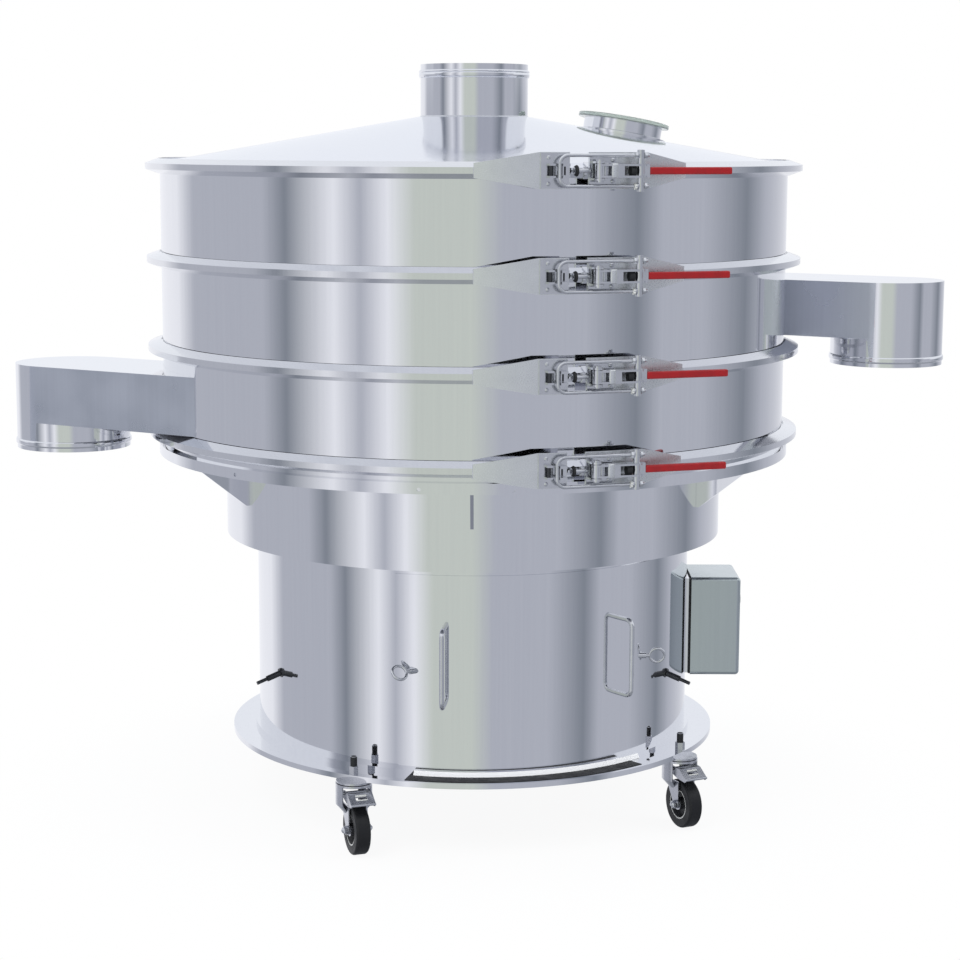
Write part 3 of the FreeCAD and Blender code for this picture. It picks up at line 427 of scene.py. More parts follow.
def prism(bm, radius, length, sides, bevel, segments):
    """A round or many-sided bar about Z, middle at the origin, with bevelled rims."""
    made = bmesh.ops.create_cone(bm, cap_ends=True, segments=sides, radius1=radius * MM,
                                 radius2=radius * MM, depth=length * MM)
    if not bevel:
        return made["verts"]
    rims = [edge for edge in edges_of(made["verts"])
            if any(len(face.verts) > 4 for face in edge.link_faces)]
    return round_edges(bm, rims, bevel, segments)


def bar(bm, radius, start, end, matrix, sides=20, bevel=0.0):
    """A round bar between two points."""
    start, end = Vector(start), Vector(end)
    verts = prism(bm, radius, (end - start).length, sides, bevel, segments=2)
    place = matrix @ toward((start + end) / 2.0, end - start)
    bmesh.ops.transform(bm, matrix=place, verts=verts)


def hex_nut(bm, across, height, start, direction, matrix):
    """A nut with chamfered corners that stands on the start point along the direction."""
    verts = prism(bm, across / math.sqrt(3.0), height, 6, across * NUT_CHAMFER, segments=1)
    middle = Vector(start) + Vector(direction).normalized() * (height / 2.0)
    bmesh.ops.transform(bm, matrix=matrix @ toward(middle, direction), verts=verts)


def block(bm, low, high, matrix, bevel):
    """A box between two corners, its edges rounded."""
    verts = bmesh.ops.create_cube(bm, size=1.0)["verts"]
    size = [abs(b - a) * MM for a, b in zip(low, high)]
    middle = [(a + b) / 2.0 * MM for a, b in zip(low, high)]
    bmesh.ops.scale(bm, vec=size, verts=verts)
    verts = round_edges(bm, edges_of(verts), bevel, segments=3)
    bmesh.ops.transform(bm, matrix=matrix @ Matrix.Translation(middle), verts=verts)


def section(inner, outer, low, high):
    """The (radius, height) corners of an upright rectangle."""
    return [(inner, low), (outer, low), (outer, high), (inner, high)]


def bent_strip(bm, corners, start, end):
    """A bar of four (radius, height) corners bent round the axis, a step for each degree."""
    first = Matrix.Rotation(math.radians(start), 3, "Z")
    verts = [bm.verts.new(first @ Vector((radius * MM, 0.0, height * MM)))
             for radius, height in corners]
    edges = [bm.edges.new(pair) for pair in zip(verts, verts[1:] + verts[:1])]
    bmesh.ops.spin(bm, geom=verts + edges, cent=(0, 0, 0), axis=(0, 0, 1),
                   angle=math.radians(end - start), steps=math.ceil(end - start))
    bmesh.ops.holes_fill(bm, edges=bm.edges, sides=4)


def threads(radius, low, high, pitch, depth):
    """Outline of a threaded run: one ridge for each turn."""
    outline = [(0.0, low), (radius - depth, low)]
    height = low
    while height + pitch <= high:
        outline += [(radius, height + pitch * 0.5), (radius - depth, height + pitch)]
        height += pitch
    return outline + [(0.0, height)]


# Places, in the machine's frame.

def mount_place(name):
    """A mount's place, in metres."""
    return Vector(next(mount["pos_m"] for mount in frame["record"]["mounts"]
                       if mount["name"] == name))


def port_place():
    """Local frame of the sight port: origin in its cover, Z square to the lid."""
    corners = [Vector(corner) for corner in NODES["port_cover"].bound_box]
    centre = sum(corners, Vector()) / len(corners)
    bearing = math.atan2(centre.y, centre.x)
    tilt = (Matrix.Rotation(bearing, 4, "Z")
            @ Matrix.Rotation(math.radians(LID_SLOPE), 4, "Y"))
    return Matrix.Translation(centre) @ tilt


def toggle_place(number):
    """Local frame of a toggle: X outward through the lever's pivot, Y along the band, Z up."""
    pivot = Vector(JOINTS["lever_%d_swing" % number]["pos_m"])
    bearing = math.atan2(pivot.y, pivot.x)
    return Matrix.Translation((0.0, 0.0, pivot.z)) @ Matrix.Rotation(bearing, 4, "Z")


def caster_place(number):
    """Local frame of a caster: origin on the floor under its swivel, X along its trail."""
    swivel = Vector(JOINTS["caster_%d_swivel" % number]["pos_m"])
    axle = Vector(JOINTS["wheel_%d_spin" % number]["pos_m"])
    heading = math.atan2(axle.y - swivel.y, axle.x - swivel.x)
    return Matrix.Translation((swivel.x, swivel.y, 0.0)) @ Matrix.Rotation(heading, 4, "Z")


# Nodes that come in fours, one for each clamp or caster, are listed once without their number.
NODES_OF_FINISH = {
    "sheet": ("base_plate", "base_drum", "access_panel", "box_saddle", "upper_drum",
              "gusset_plates", "table_ring", "bottom_frame", "middle_frame", "top_frame",
              "chute_left", "chute_right", "chute_rear", "inlet_spout", "port_collar"),
    "lid": ("lid_cone",),
    "plate": ("box_cover",),
    "band": ("clamp_ring",),
    "bright": ("panel_handles", "eye_bolts", "clamp_lever", "clamp_bail"),
    "zinc": ("caster_heads", "caster_fork", "caster_pedal"),
    "dark": ("side_studs",),
    "wire": ("upper_screen", "lower_screen"),
    "rubber": ("box_gasket", "spring_mounts", "rim_gaskets"),
    "tread": ("caster_tyre",),
    "black": ("switch_knob", "caster_wheel"),
    "grip": ("clamp_grip",),
    "acrylic": ("port_cover",),
}
FINISH_OF_NODE = {node: finish for finish, nodes in NODES_OF_FINISH.items() for node in nodes}


def finish_of(node):
    return FINISH_OF_NODE.get(node) or FINISH_OF_NODE[node.rstrip("1234").rstrip("_")]


# Properties that a user would change.

class StudioProperties(bpy.types.PropertyGroup):
    lens: FloatProperty(name="Lens", description="Focal length of the camera", default=81.80,
                        unit="CAMERA")
    floor_radius: FloatProperty(name="Floor radius", description="Radius of the pale floor",
                                default=7.0, unit="LENGTH")
    world_strength: FloatProperty(name="World", description="Strength of the room's light",
                                  default=1.0)
    key_watts: FloatProperty(name="Key light", description="Power of the large soft lamp",
                             default=60.0)


class FittingProperties(bpy.types.PropertyGroup):
    rivet: FloatProperty(name="Rivet", description="Radius of the plates' rivets, in mm",
                         default=4.0)
    washer: FloatProperty(name="Washer", description="Radius of the bails' washers, in mm",
                          default=6.6)
    weld: FloatProperty(name="Weld", description="Radius of the polished weld beads, in mm",
                        default=1.6)


# One operator for each group of pieces.

class SIEVE_OT_studio(bpy.types.Operator):
    """Pale floor, soft room light and the camera"""
    bl_idname = "sieve.studio"
    bl_label = "Studio"

    # Camera: place in millimetres, bearing of its line of sight, pitch down and roll in degrees,
    # and the width of its sensor in millimetres.
    PLACE = (2173.0, -3735.8, 1305.3)
    BEARING = 120.0
    PITCH = 8.8465
    ROLL = -0.2019
    SENSOR = 36.0

    # The room's upright bands: degrees to the right of the line from the machine to the camera.
    WINDOW, CLOTH, WALL, SHADE = "f9faff", "d2d8d0", "bcbfc9", "8a909a"
    LEFT = (
        (-180, WINDOW), (-135, WINDOW), (-120, WALL), (-80, WALL), (-70, SHADE), (-50, WINDOW),
        (-40, WALL), (-30, WINDOW), (-20, CLOTH), (0, CLOTH),
    )
    RIGHT = (
        (0, CLOTH), (10, WALL), (40, WALL), (60, SHADE), (70, WALL), (90, WALL), (115, SHADE),
        (130, WALL), (180, WINDOW),
    )

    # Pale ceiling and grey ground. Heights are the Z of a direction. The ceiling starts at 0
    # behind the machine and at WALL_TOP before it, and rises between two cosines of the angle.
    CEILING, GROUND = "f6f9ff", "9a9ea6"
    WALL_TOP = 0.5
    WALL_BEHIND, WALL_BEFORE = -0.2, 0.6
    CEILING_BLEND = 0.1
    GROUND_START, GROUND_END = -0.35, -0.75

    # The floor as the camera sees it is mostly white, and wholly so from FADE_END, in metres.
    FLOOR_TINT, FLOOR_SHADE = "f6f6f6", "f3f3f4"
    WHITE = (1.0, 1.0, 1.0, 1.0)
    WHITE_SHARE = 0.92
    FADE_START, FADE_END = 0.55, 1.1

    # Lamps: name, bearing, height and diameter in metres, and share of the key lamp's power.
    LAMPS = (("key", -95.0, 3.4, 2.6, 1.0), ("fill", 10.0, 2.6, 2.2, 0.5))
    LAMP_DISTANCE = 3.2
    LAMP_TARGET = (0.0, 0.0, 0.7)

    def execute(self, context):
        make_materials()
        scene = context.scene
        scene.view_settings.view_transform = "Standard"
        self.make_camera(scene)
        self.make_room(scene)
        self.make_floor(scene)
        self.make_lamps(scene)
        return {"FINISHED"}

    def make_camera(self, scene):
        """The photograph's camera."""
        data = bpy.data.cameras.new("camera")
        data.lens = scene.sieve_studio.lens
        data.sensor_width = self.SENSOR
        camera = bpy.data.objects.new("camera", data)
        scene.collection.objects.link(camera)
        bearing, pitch, roll = map(math.radians, (self.BEARING, self.PITCH, self.ROLL))
        ahead = Vector((math.cos(bearing) * math.cos(pitch), math.sin(bearing) * math.cos(pitch),
                        -math.sin(pitch)))
        right = Vector((math.sin(bearing), -math.cos(bearing), 0.0))
        up = right.cross(ahead)
        side = right * math.cos(roll) - up * math.sin(roll)
        top = right * math.sin(roll) + up * math.cos(roll)
        turn = Matrix((side, top, -ahead)).transposed().to_4x4()
        camera.matrix_world = Matrix.Translation(Vector(self.PLACE) * MM) @ turn
        scene.camera = camera

    def make_bands(self, tree, angle):
        """Colour of the room's bands at an angle's node, each half from its own ramp."""
        halves = []
        for stops in (self.LEFT, self.RIGHT):
            low, high = stops[0][0], stops[-1][0]
            turn = add_node(tree, "ShaderNodeMapRange",
                            {"Value": angle.outputs[0], "From Min": math.radians(low),
                             "From Max": math.radians(high)})
            half = add_node(tree, "ShaderNodeValToRGB", {"Fac": turn.outputs[0]})
            set_ramp(half.color_ramp, [((bearing - low) / (high - low), linear(tone))
                                       for bearing, tone in stops])
            halves.append(half.outputs["Color"])
        right = add_node(tree, "ShaderNodeMath", {0: angle.outputs[0], 1: 0.0},
                         operation="GREATER_THAN")
        return add_node(tree, "ShaderNodeMix",
                        {"Factor": right.outputs[0], "A": halves[0], "B": halves[1]},
                        data_type="RGBA")

    def make_room(self, scene):
        """A room of upright bands for the steel to reflect; the camera itself sees white."""
        world = bpy.data.worlds.new("room")
        world.use_nodes = True
        tree = world.node_tree
        tree.nodes.clear()
        place = add_node(tree, "ShaderNodeTexCoord")
        axes = add_node(tree, "ShaderNodeSeparateXYZ", {"Vector": place.outputs["Generated"]})
        bearing = add_node(tree, "ShaderNodeMath", {0: axes.outputs["Y"], 1: axes.outputs["X"]},
                           operation="ARCTAN2")
        toward_camera = math.radians(self.BEARING - 180.0)
        offset = add_node(tree, "ShaderNodeMath", {0: bearing.outputs[0], 1: toward_camera},
                          operation="SUBTRACT")
        angle = add_node(tree, "ShaderNodeMath", {0: offset.outputs[0], 1: math.pi, 2: -math.pi},
                         operation="WRAP")
        colour = self.make_bands(tree, angle)
        facing = add_node(tree, "ShaderNodeMath", {0: angle.outputs[0]}, operation="COSINE")
        wall = add_node(tree, "ShaderNodeMapRange",
                        {"Value": facing.outputs[0], "From Min": self.WALL_BEHIND,
                         "From Max": self.WALL_BEFORE, "To Max": self.WALL_TOP},
                        interpolation_type="SMOOTHSTEP")
        height = add_node(tree, "ShaderNodeMath", {0: axes.outputs["Z"], 1: wall.outputs[0]},
                          operation="SUBTRACT")
        layers = ((height.outputs[0], 0.0, self.CEILING_BLEND, self.CEILING),
                  (axes.outputs["Z"], self.GROUND_START, self.GROUND_END, self.GROUND))
        for level, start, end, tone in layers:
            share = add_node(tree, "ShaderNodeMapRange",
                             {"Value": level, "From Min": start, "From Max": end},
                             interpolation_type="SMOOTHSTEP")
            colour = add_node(tree, "ShaderNodeMix",
                              {"Factor": share.outputs[0], "A": colour.outputs["Result"],
                               "B": linear(tone)}, data_type="RGBA")
        room = add_node(tree, "ShaderNodeBackground",
                        {"Color": colour.outputs["Result"],
                         "Strength": scene.sieve_studio.world_strength})
        backdrop = add_node(tree, "ShaderNodeBackground", {"Color": self.WHITE, "Strength": 1.0})
        path = add_node(tree, "ShaderNodeLightPath")
        direct = add_node(tree, "ShaderNodeMath", {0: path.outputs["Is Camera Ray"],
                                                   1: path.outputs["Is Transmission Ray"]},
                          operation="MAXIMUM")
        seen = add_node(tree, "ShaderNodeMixShader",
                        {"Fac": direct.outputs[0], 1: room.outputs[0], 2: backdrop.outputs[0]})
        add_node(tree, "ShaderNodeOutputWorld", {"Surface": seen.outputs[0]})
        scene.world = world

    def make_floor(self, scene):
        """A round floor that fades to white away from the machine."""
        bm = bmesh.new()
        bmesh.ops.create_circle(bm, cap_ends=True, segments=96,
                                radius=scene.sieve_studio.floor_radius)
        mesh = bpy.data.meshes.new("floor")
        bm.to_mesh(mesh)
        bm.free()
        floor = bpy.data.objects.new("floor", mesh)
        scene.collection.objects.link(floor)
        floor.visible_glossy = False
        material, tree = start_material("pale painted floor")
        grain = add_node(tree, "ShaderNodeTexNoise",
                         {"Vector": object_coordinates(tree), "Scale": 3.0})
        colour = add_node(tree, "ShaderNodeMix",
                          {"Factor": grain.outputs[0], "A": linear(self.FLOOR_TINT),
                           "B": linear(self.FLOOR_SHADE)}, data_type="RGBA")
        painted = add_node(tree, "ShaderNodeBsdfDiffuse", {"Color": colour.outputs["Result"]})
        white = add_node(tree, "ShaderNodeEmission", {"Color": self.WHITE, "Strength": 1.0})
        path = add_node(tree, "ShaderNodeLightPath")
        place = add_node(tree, "ShaderNodeTexCoord")
        distance = add_node(tree, "ShaderNodeVectorMath", {0: place.outputs["Object"]},
                            operation="LENGTH")
        fade = add_node(tree, "ShaderNodeMapRange",
                        {"Value": distance.outputs["Value"], "From Min": self.FADE_START,
                         "From Max": self.FADE_END, "To Min": self.WHITE_SHARE},
                        interpolation_type="SMOOTHSTEP")
        share = add_node(tree, "ShaderNodeMath",
                         {0: path.outputs["Is Camera Ray"], 1: fade.outputs[0]},
                         operation="MULTIPLY")
        seen = add_node(tree, "ShaderNodeMixShader",
                        {"Fac": share.outputs[0], 1: painted.outputs[0], 2: white.outputs[0]})
        add_node(tree, "ShaderNodeOutputMaterial", {"Surface": seen.outputs[0]})
        mesh.materials.append(material)

    def make_lamps(self, scene):
        """Two large soft lamps that leave no reflection."""
        for name, bearing, height, diameter, share in self.LAMPS:
            data = bpy.data.lights.new(name, "AREA")
            data.shape = "DISK"
            data.size = diameter
            data.energy = scene.sieve_studio.key_watts * share
            lamp = bpy.data.objects.new(name, data)
            angle = math.radians(bearing)
            place = Vector((self.LAMP_DISTANCE * math.cos(angle),
                            self.LAMP_DISTANCE * math.sin(angle), height))
            turn = (Vector(self.LAMP_TARGET) - place).to_track_quat("-Z", "Y").to_matrix()
            lamp.matrix_world = Matrix.Translation(place) @ turn.to_4x4()
            lamp.visible_glossy = False
            scene.collection.objects.link(lamp)


class SIEVE_OT_skins(bpy.types.Operator):
    """Smooth skins and finishes for the carried-over parts"""
    bl_idname = "sieve.skins"
    bl_label = "Skins"

    ROLLED_ABOUT_AXIS = ("base_plate", "base_drum", "access_panel", "upper_drum", "table_ring",
                         "bottom_frame", "middle_frame", "top_frame", "lid_cone",
                         "inlet_spout", "rim_gaskets")
    # Way from each chute's neck to the machine, and how far the brushing runs past the neck.
    DUCT_INWARD = {"left": (1.0, 0.0), "right": (-1.0, 0.0), "rear": (0.0, -1.0)}
    ROUND_LAP = 14.0
    # A face this far outside a radius, in mm, belongs to what stands on it.
    JUST_OUTSIDE = 0.3

    def execute(self, context):
        for node in sorted(NODES):
            piece = smooth_copy(node, finish_of(node))
            kind, _, which = node.rpartition("_")
            if node in self.ROLLED_ABOUT_AXIS or kind == "clamp_ring":
                rolled_normals(piece, Matrix.Identity(4))
            elif kind == "chute":
                rolled_normals(piece, Matrix.Translation(mount_place("neck_" + which)))
            elif kind == "port":
                rolled_normals(piece, port_place())
            else:
                even_normals(piece)
            if kind == "clamp_ring":
                self.dress_clamp(piece)
            elif kind == "chute":
                self.dress_chute(piece, which)
            elif kind == "caster_wheel":
                self.dress_wheel(piece, caster_place(int(which)).inverted())
        return {"FINISHED"}

    def dress_clamp(self, piece):
        """Satin end plates and bright brackets on the polished band."""
        for material, radius in (("satin", CLAMP_R), ("bright", CLAMP_R + TOGGLE_PLATE_T)):
            least = (radius + self.JUST_OUTSIDE) * MM
            paint_faces(piece, material, lambda face: face.center.to_2d().length > least)

    def dress_chute(self, piece, side):
        """Brushed sides between the machine and the neck, and mill-finished undersides."""
        neck = mount_place("neck_" + side)
        inward = Vector(self.DUCT_INWARD[side])

        def on_side(face):
            along = (face.center - neck).to_2d().dot(inward)
            upright = abs(face.normal.z) < 1.0 - SMOOTH
            return (upright and along > -self.ROUND_LAP * MM
                    and face.center.z > neck.z + NECK_TOP * MM)

        paint_faces(piece, "brushed", on_side)
        paint_faces(piece, "mill", lambda face: face.normal.z < -SMOOTH)

    def dress_wheel(self, piece, back):
        """White rim, bare hub and black web."""
        axle = Vector((TRAIL, 0.0, WHEEL_R)) * MM

        def reach(face):
            away = back @ face.center - axle
            return math.hypot(away.x, away.z) / MM

        paint_faces(piece, "white", lambda face: reach(face) > RIM_R)
        paint_faces(piece, "zinc", lambda face: reach(face) < HUB_R)


class SIEVE_OT_toggle_fittings(bpy.types.Operator):
    """Rivets, spindle, washers and pads of the toggle clamps"""
    bl_idname = "sieve.toggle_fittings"
    bl_label = "Toggle fittings"

    # Millimetres in the toggle's frame. FOOT is the top of the plates that the fittings stand on.
    FOOT = CLAMP_R + TOGGLE_PLATE_T + CATCH_PLATE_T
    # Rivets: along the band from the catch or the pivot, and up or down. The dome's radii are
    # shares of the rivet's.
    CATCH_RIVETS = (-11.5, 22.0)
    PIVOT_RIVETS = (30.0, 18.0)
    RIVET_DOME = ((0.0, 2.2), (0.5, 1.9), (0.85, 1.1), (1.0, -0.4))
    # Spindle with its bearing block, and the button on its end with a black rubber ring round it
    # as painted shadow.
    SPINDLE_R = 4.0
    SPINDLE_Y = (-36.0, -13.5)
    BEARING_FOOT = CLAMP_R + 6.0
    BEARING_Y = (-24.0, -17.0)
    BEARING_HALF = 7.0
    # Painted shadow: the black ring round the button stands where the round nose's shadow falls.
    SHADOW_RING_Y = -39.5
    SHADOW_RING = ((3.2, -3.0), (8.2, -1.6), (9.8, 1.4), (9.0, 3.0), (7.6, 1.0), (3.2, -0.6))
    BUTTON_Y = -41.0
    BUTTON = ((0.0, 3.0), (4.0, 2.4), (6.4, 0.6), (6.6, -0.6))
    BUTTON_WAY = (0.25, -1.0, 0.0)
    # Roller between the catch's guides, and two dark blocks on its post as painted shade for its
    # slots.
    ROLLER_R = 3.4
    ROLLER_RISE = 4.0
    ROLLER_Y = -82.0
    ROLLER_HALF = 8.6
    SHADE_SLOTS_Y = ((-66.8, -62.4), (-59.6, -56.4))
    SHADE_SLOT_X = (3.6, 4.8)
    SHADE_SLOT_HALF = 7.0
    # Bail: washers and threads either side of the cross bar, counted from it, and its lock nut.
    WASHERS_Y = (-6.4, 5.2)
    WASHER_T = 1.2
    THREADS = ((-30.0, -11.0, 1.6), (10.5, 14.6, 1.4))
    THREAD_RISE = 0.5
    THREAD_DEPTH = 0.6
    END_FACE = ((0.0, 0.6), (TRUNNION_R - 2.4, 0.6), (TRUNNION_R - 0.6, 0.0))
    LOCK_NUT = (10.5, 5.0)
    LOCK_NUT_Y = -12.0
    # Lever: sleeve round the pivot pin, pad across its side plates, and plug before the grip.
    SLEEVE_R = 6.4
    SLEEVE_X = PIVOT_X - 1.0
    SLEEVE_Y = 10.0
    SLEEVE_HALF = 12.2
    PAD_X = (PIVOT_X - 3.0, PIVOT_X + 9.0)
    PAD_Y = (18.5, 31.0)
    PAD_HALF = 12.6
    PLUG_R = 9.0
    PLUG_Y = (LEVER_ARM - 20.0, LEVER_ARM - 9.0)

    def execute(self, context):
        sizes = context.scene.sieve_fittings
        for number in CLAMPS:
            place = toggle_place(number)
            self.rivets(number, place, sizes.rivet)
            self.spindle(number, place)
            self.catch(number, place)
            self.bail_ends(number, place, sizes.washer)
            self.pad(number, place)
        return {"FINISHED"}

    def rivets(self, number, place, radius):
        """Domed rivets in the corners of the catch plate and the pivot plate."""
        bm = bmesh.new()
        dome = [(radius * share, height) for share, height in self.RIVET_DOME]
        catch = place @ Matrix.Rotation(math.asin(CATCH_Y / CLAMP_R), 4, "Z")
        for plate, (y, z) in ((catch, self.CATCH_RIVETS), (place, self.PIVOT_RIVETS)):
            for side in (-z, z):
                lathe(bm, dome, plate @ toward((self.FOOT, y, side), (1, 0, 0)), steps=16)
        finish_piece("toggle_%d_rivets" % number, bm, "bright")

    def spindle(self, number, place):
        """The catch's spindle in its bearing, with a bright button on its end and a black ring
        round it as painted shadow.
        """
        bm = bmesh.new()
        start, end = self.SPINDLE_Y
        bar(bm, self.SPINDLE_R, (SPINDLE_X, start, 0.0), (SPINDLE_X, end, 0.0), place, bevel=0.6)
        low, high = self.BEARING_Y
        block(bm, (self.BEARING_FOOT, low, -self.BEARING_HALF),
              (SPINDLE_X, high, self.BEARING_HALF), place, bevel=0.8)
        finish_piece("toggle_%d_spindle" % number, bm, "bright")
        # Painted shadow: a black rubber ring round the button, where the round nose's shadow
        # falls.
        bm = bmesh.new()
        shadow_ring = place @ toward((SPINDLE_X, self.SHADOW_RING_Y, 0.0), (0, 1, 0))
        lathe(bm, self.SHADOW_RING, shadow_ring, steps=28)
        finish_piece("toggle_%d_cup" % number, bm, "rubber")
        bm = bmesh.new()
        button = place @ toward((SPINDLE_X, self.BUTTON_Y, 0.0), self.BUTTON_WAY)
        lathe(bm, self.BUTTON, button, steps=24)
        finish_piece("toggle_%d_button" % number, bm, "bright")

    def catch(self, number, place):
        """The roller between the catch's guides, and dark blocks on its post as painted shade for
        its slots.
        """
        bm = bmesh.new()
        x = self.FOOT + self.ROLLER_RISE
        bar(bm, self.ROLLER_R, (x, self.ROLLER_Y, -self.ROLLER_HALF),
            (x, self.ROLLER_Y, self.ROLLER_HALF), place)
        # Painted shade: thin dark blocks stand proud of the post where its slots' recesses are
        # dark.
        inner, outer = self.SHADE_SLOT_X
        for low, high in self.SHADE_SLOTS_Y:
            block(bm, (self.FOOT + inner, low, -self.SHADE_SLOT_HALF),
                  (self.FOOT + outer, high, self.SHADE_SLOT_HALF), place, bevel=0.4)
        finish_piece("toggle_%d_roller" % number, bm, "dark")

    def bail_ends(self, number, place, radius):
        """Threaded ends with washers and lock nuts, either side of the cross bar."""
        bm = bmesh.new()
        body = "bail_%d" % number
        washer = [(BAIL_ROD_R, 0.0), (radius, 0.0), (radius, self.WASHER_T),
                  (BAIL_ROD_R, self.WASHER_T)]
        for z in (-BAIL_HALF, BAIL_HALF):
            for y in self.WASHERS_Y:
                seat = place @ toward((TRUNNION_X, LEVER_ARM + y, z), (0, 1, 0))
                lathe(bm, washer, seat, steps=24)
            run = place @ toward((TRUNNION_X, LEVER_ARM, z), (0, 1, 0))
            for low, high, pitch in self.THREADS:
                ridges = threads(BAIL_ROD_R + self.THREAD_RISE, low, high, pitch,
                                 self.THREAD_DEPTH)
                lathe(bm, ridges, run, steps=16)
        for z in (-TRUNNION_HALF, TRUNNION_HALF):
            end = place @ toward((TRUNNION_X, LEVER_ARM, z), (0, 0, z))
            lathe(bm, self.END_FACE, end, steps=24)
        finish_piece("toggle_%d_bail_ends" % number, bm, "bright", body)
        bm = bmesh.new()
        across, height = self.LOCK_NUT
        hex_nut(bm, across, height, (TRUNNION_X, LEVER_ARM + self.LOCK_NUT_Y, -BAIL_HALF),
                (0, 1, 0), place)
        finish_piece("toggle_%d_lock_nut" % number, bm, "white", body)

    def pad(self, number, place):
        """Sleeve and pad across the lever's side plates, and the plug before the grip."""
        body = "lever_%d" % number
        bm = bmesh.new()
        bar(bm, self.SLEEVE_R, (self.SLEEVE_X, self.SLEEVE_Y, -self.SLEEVE_HALF),
            (self.SLEEVE_X, self.SLEEVE_Y, self.SLEEVE_HALF), place, sides=28, bevel=0.8)
        finish_piece("toggle_%d_sleeve" % number, bm, "zinc", body)
        bm = bmesh.new()
        (inner, outer), (low, high) = self.PAD_X, self.PAD_Y
        block(bm, (inner, low, -self.PAD_HALF), (outer, high, self.PAD_HALF), place, bevel=2.4)
        finish_piece("toggle_%d_pad" % number, bm, "satin", body)
        bm = bmesh.new()
        start, end = self.PLUG_Y
        bar(bm, self.PLUG_R, (TRUNNION_X, start, 0.0), (TRUNNION_X, end, 0.0), place, sides=24,
            bevel=1.6)
        finish_piece("toggle_%d_plug" % number, bm, "rubber", body)


class SIEVE_OT_caster_fittings(bpy.types.Operator):
    """Caps, pedal tongues and axle ends of the casters"""
    bl_idname = "sieve.caster_fittings"
    bl_label = "Caster fittings"

    # Cap over the stud: (radius, height) above the nut's top.
    CAP = ((5.0, -0.2), (6.3, -0.2), (6.3, 16.0), (5.6, 17.6), (4.1, 18.3), (0.0, 18.4))
    # Tongue: two ridges across the pedal, as low and high corners on its slope and a bevel.
    RIDGES = (((6.2, -10.5, -0.4), (9.4, 10.5, 2.4), 0.9),
              ((16.5, -10.5, -0.6), (18.6, 10.5, 1.0), 0.7))
    # Axle nut, and the dome on it above the axle's end.
    AXLE_NUT = (13.0, 4.0)
    AXLE_DOME = ((0.0, 7.6), (2.6, 7.1), (4.6, 5.4), (5.2, 3.8))

    def execute(self, context):
        for number in CASTERS:
            place = caster_place(number)
            self.cap(number, place)
            self.tongue(number, place)
            self.axle_ends(number, place)
        return {"FINISHED"}

    def cap(self, number, place):
        """Rubber cap over the stud's end."""
        bm = bmesh.new()
        top = BASE_TOP + NUT_H
        lathe(bm, [(radius, top + height) for radius, height in self.CAP], place, steps=32)
        finish_piece("caster_%d_cap" % number, bm, "rubber")

    def tongue(self, number, place):
        """Pale tongue that shows in the pedal's slot."""
        bm = bmesh.new()
        slope = Matrix.Rotation(math.radians(PEDAL_SLOPE), 4, "Y")
        start = Matrix.Translation(Vector((PEDAL_START, 0.0, PEDAL_Z)) * MM)
        for low, high, bevel in self.RIDGES:
            block(bm, low, high, place @ start @ slope, bevel)
        finish_piece("caster_%d_tongue" % number, bm, "white", "pedal_%d" % number)

    def axle_ends(self, number, place):
        """Domed nuts on the axle."""
        bm = bmesh.new()
        across, height = self.AXLE_NUT
        for side in (-1.0, 1.0):
            start, outward = (TRAIL, side * AXLE_END, WHEEL_R), (0.0, side, 0.0)
            hex_nut(bm, across, height, start, outward, place)
            lathe(bm, self.AXLE_DOME, place @ toward(start, outward), steps=20)
        finish_piece("caster_%d_axle_ends" % number, bm, "bright", "caster_%d" % number)


class SIEVE_OT_panel_foot(bpy.types.Operator):
    """Foot of the access panel down to the curb, a white seal, and a flat black strip of painted
    shade before it
    """
    bl_idname = "sieve.panel_foot"
    bl_label = "Panel foot"

    # Millimetres, and degrees for bearings.
    CHAMFER = 1.6
    CHAMFER_REST = 1.0
    SEAL = ((CURB_R, BASE_TOP), (CURB_R + 5.0, BASE_TOP + 0.4), (CURB_R + 0.4, BASE_TOP + CURB_H),
            (CURB_R, BASE_TOP + CURB_H))
    SEAL_START, SEAL_END = -74.0, -14.0
    # Painted shade: a flat black band, 0.8 mm thick, on the plate where the seal's shadow and dark
    # reflection lie.
    STRIP = section(CURB_R + 1.0, 474.0, BASE_TOP, BASE_TOP + 0.8)
    STRIP_START, STRIP_END = -75.0, -17.5

    def execute(self, context):
        self.foot(BASE_TOP + CURB_H, BASE_TOP + PANEL_RISE)
        bm = bmesh.new()
        bent_strip(bm, self.SEAL, self.SEAL_START, self.SEAL_END)
        finish_piece("panel_seal", bm, "seal")
        # Painted shade on the plate before the seal, in black rubber.
        bm = bmesh.new()
        bent_strip(bm, self.STRIP, self.STRIP_START, self.STRIP_END)
        finish_piece("panel_painted_shade", bm, "rubber")
        return {"FINISHED"}

    def foot(self, low, high):
        """The panel's sheet between two heights, with its lower corners cut."""
        bm = bmesh.new()
        bent_strip(bm, section(PANEL_R - PANEL_T, PANEL_R, low, high), PANEL_START, PANEL_END)
        cut = high - low - self.CHAMFER_REST
        for vert in bm.verts:
            bearing = math.degrees(math.atan2(vert.co.y, vert.co.x))
            edge = min(bearing - PANEL_START, PANEL_END - bearing)
            if vert.co.z < high * MM - EPSILON and edge < self.CHAMFER:
                vert.co.z += cut * (1.0 - edge / self.CHAMFER) * MM
        piece = finish_piece("panel_foot", bm, "sheet")
        rolled_normals(piece, Matrix.Identity(4))


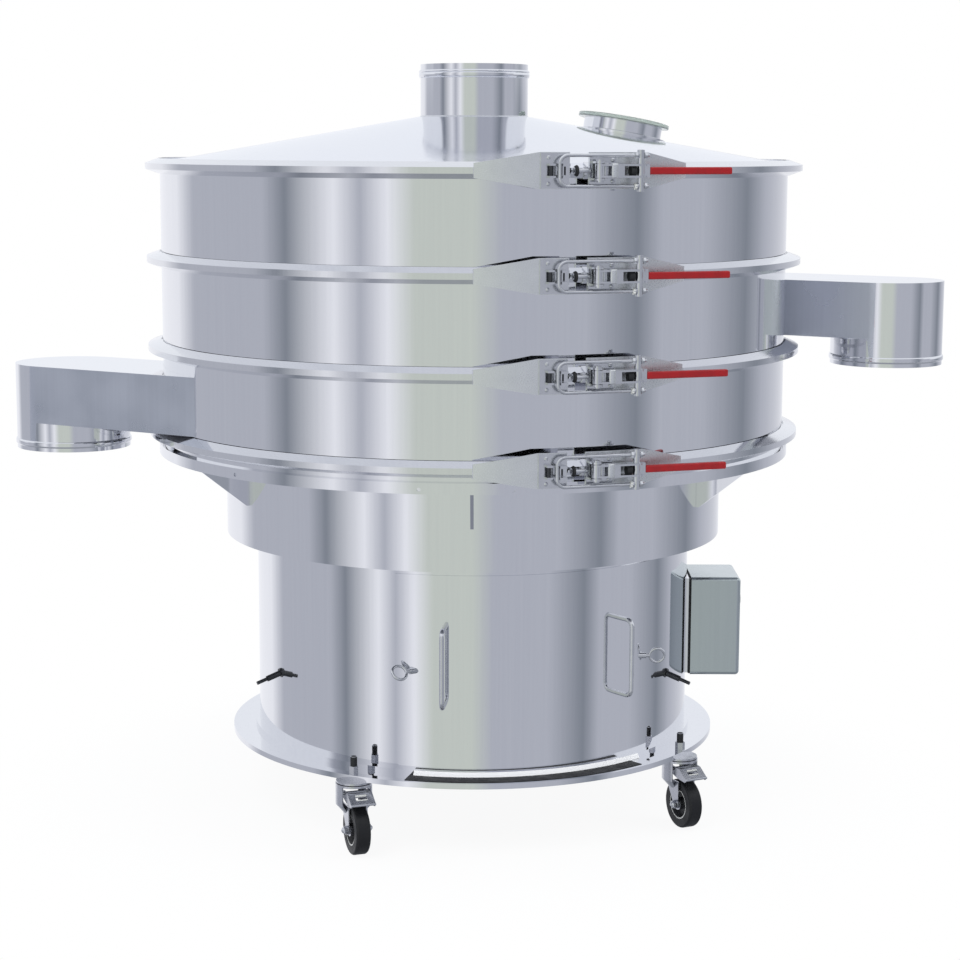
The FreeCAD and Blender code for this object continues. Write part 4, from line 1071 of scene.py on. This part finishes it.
class SIEVE_OT_welds(bpy.types.Operator):
    """Dressed welds round the inlet and the sight port, and the swaged beads of the spouts"""
    bl_idname = "sieve.welds"
    bl_label = "Welds"

    # Millimetres. A weld starts and ends WELD_LAP inside its tube, and bulges between by shares
    # of its size.
    WELD_LAP = 0.2
    WELD_BULGE = ((0.6, 0.5), (0.8, -0.2), (0.4, -0.8))
    BEAD_HALF = 6.0
    INLET_BEAD = 3.2
    INLET_BEAD_DROP = 15.0
    NECK_BEAD = 2.5
    NECK_BEAD_RISE = 9.0
    STEPS = 96

    def execute(self, context):
        size = context.scene.sieve_fittings.weld
        inlet = mount_place("inlet_spout").z
        foot = Matrix.Translation((0.0, 0.0, inlet + INLET_FOOT * MM))
        self.weld("inlet", foot, INLET_R, size)
        collar = port_place() @ Matrix.Translation((0.0, 0.0, PORT_FOOT * MM))
        self.weld("port", collar, PORT_R, size)
        middle = Matrix.Translation((0.0, 0.0, inlet - self.INLET_BEAD_DROP * MM))
        self.bead("inlet", middle, INLET_R, self.INLET_BEAD)
        for side in ("left", "right", "rear"):
            neck = mount_place("neck_" + side) + Vector((0.0, 0.0, self.NECK_BEAD_RISE * MM))
            self.bead("neck_" + side, Matrix.Translation(neck), NECK_R, self.NECK_BEAD)
        return {"FINISHED"}

    def weld(self, name, place, radius, size):
        """A ground weld bead round the foot of a tube."""
        bm = bmesh.new()
        inside = radius - self.WELD_LAP
        bulge = [(radius + size * out, size * up) for out, up in self.WELD_BULGE]
        lathe(bm, [(inside, size)] + bulge + [(inside, -size)], place, self.STEPS)
        finish_piece(name + "_weld", bm, "bright")

    def bead(self, name, place, radius, rise):
        """A broad bead rolled round a spout."""
        bm = bmesh.new()
        arc = [math.radians(angle) for angle in range(-90, 91, 15)]
        outline = [(radius + rise * math.cos(angle), self.BEAD_HALF * math.sin(angle))
                   for angle in arc]
        lathe(bm, outline, place, self.STEPS)
        piece = finish_piece(name + "_bead", bm, "sheet")
        rolled_normals(piece, place)


class SIEVE_PT_panel(bpy.types.Panel):
    """The vibrating screen's pieces"""
    bl_idname = "SIEVE_PT_panel"
    bl_label = "Vibrating screen"
    bl_space_type = "VIEW_3D"
    bl_region_type = "UI"
    bl_category = "Sieve"

    def draw(self, context):
        for operator in OPERATORS:
            self.layout.operator(operator.bl_idname)
        for name in ("lens", "floor_radius", "world_strength", "key_watts"):
            self.layout.prop(context.scene.sieve_studio, name)
        for name in ("rivet", "washer", "weld"):
            self.layout.prop(context.scene.sieve_fittings, name)


OPERATORS = (SIEVE_OT_studio, SIEVE_OT_skins, SIEVE_OT_toggle_fittings, SIEVE_OT_caster_fittings,
             SIEVE_OT_panel_foot, SIEVE_OT_welds)
CLASSES = (StudioProperties, FittingProperties) + OPERATORS + (SIEVE_PT_panel,)


def register():
    for cls in CLASSES:
        bpy.utils.register_class(cls)
    bpy.types.Scene.sieve_studio = PointerProperty(type=StudioProperties)
    bpy.types.Scene.sieve_fittings = PointerProperty(type=FittingProperties)


def unregister():
    del bpy.types.Scene.sieve_fittings
    del bpy.types.Scene.sieve_studio
    for cls in reversed(CLASSES):
        bpy.utils.unregister_class(cls)


def main():
    register()
    bpy.ops.sieve.studio()
    bpy.ops.sieve.skins()
    bpy.ops.sieve.toggle_fittings()
    bpy.ops.sieve.caster_fittings()
    bpy.ops.sieve.panel_foot()
    bpy.ops.sieve.welds()


if __name__ == "__main__":
    main()
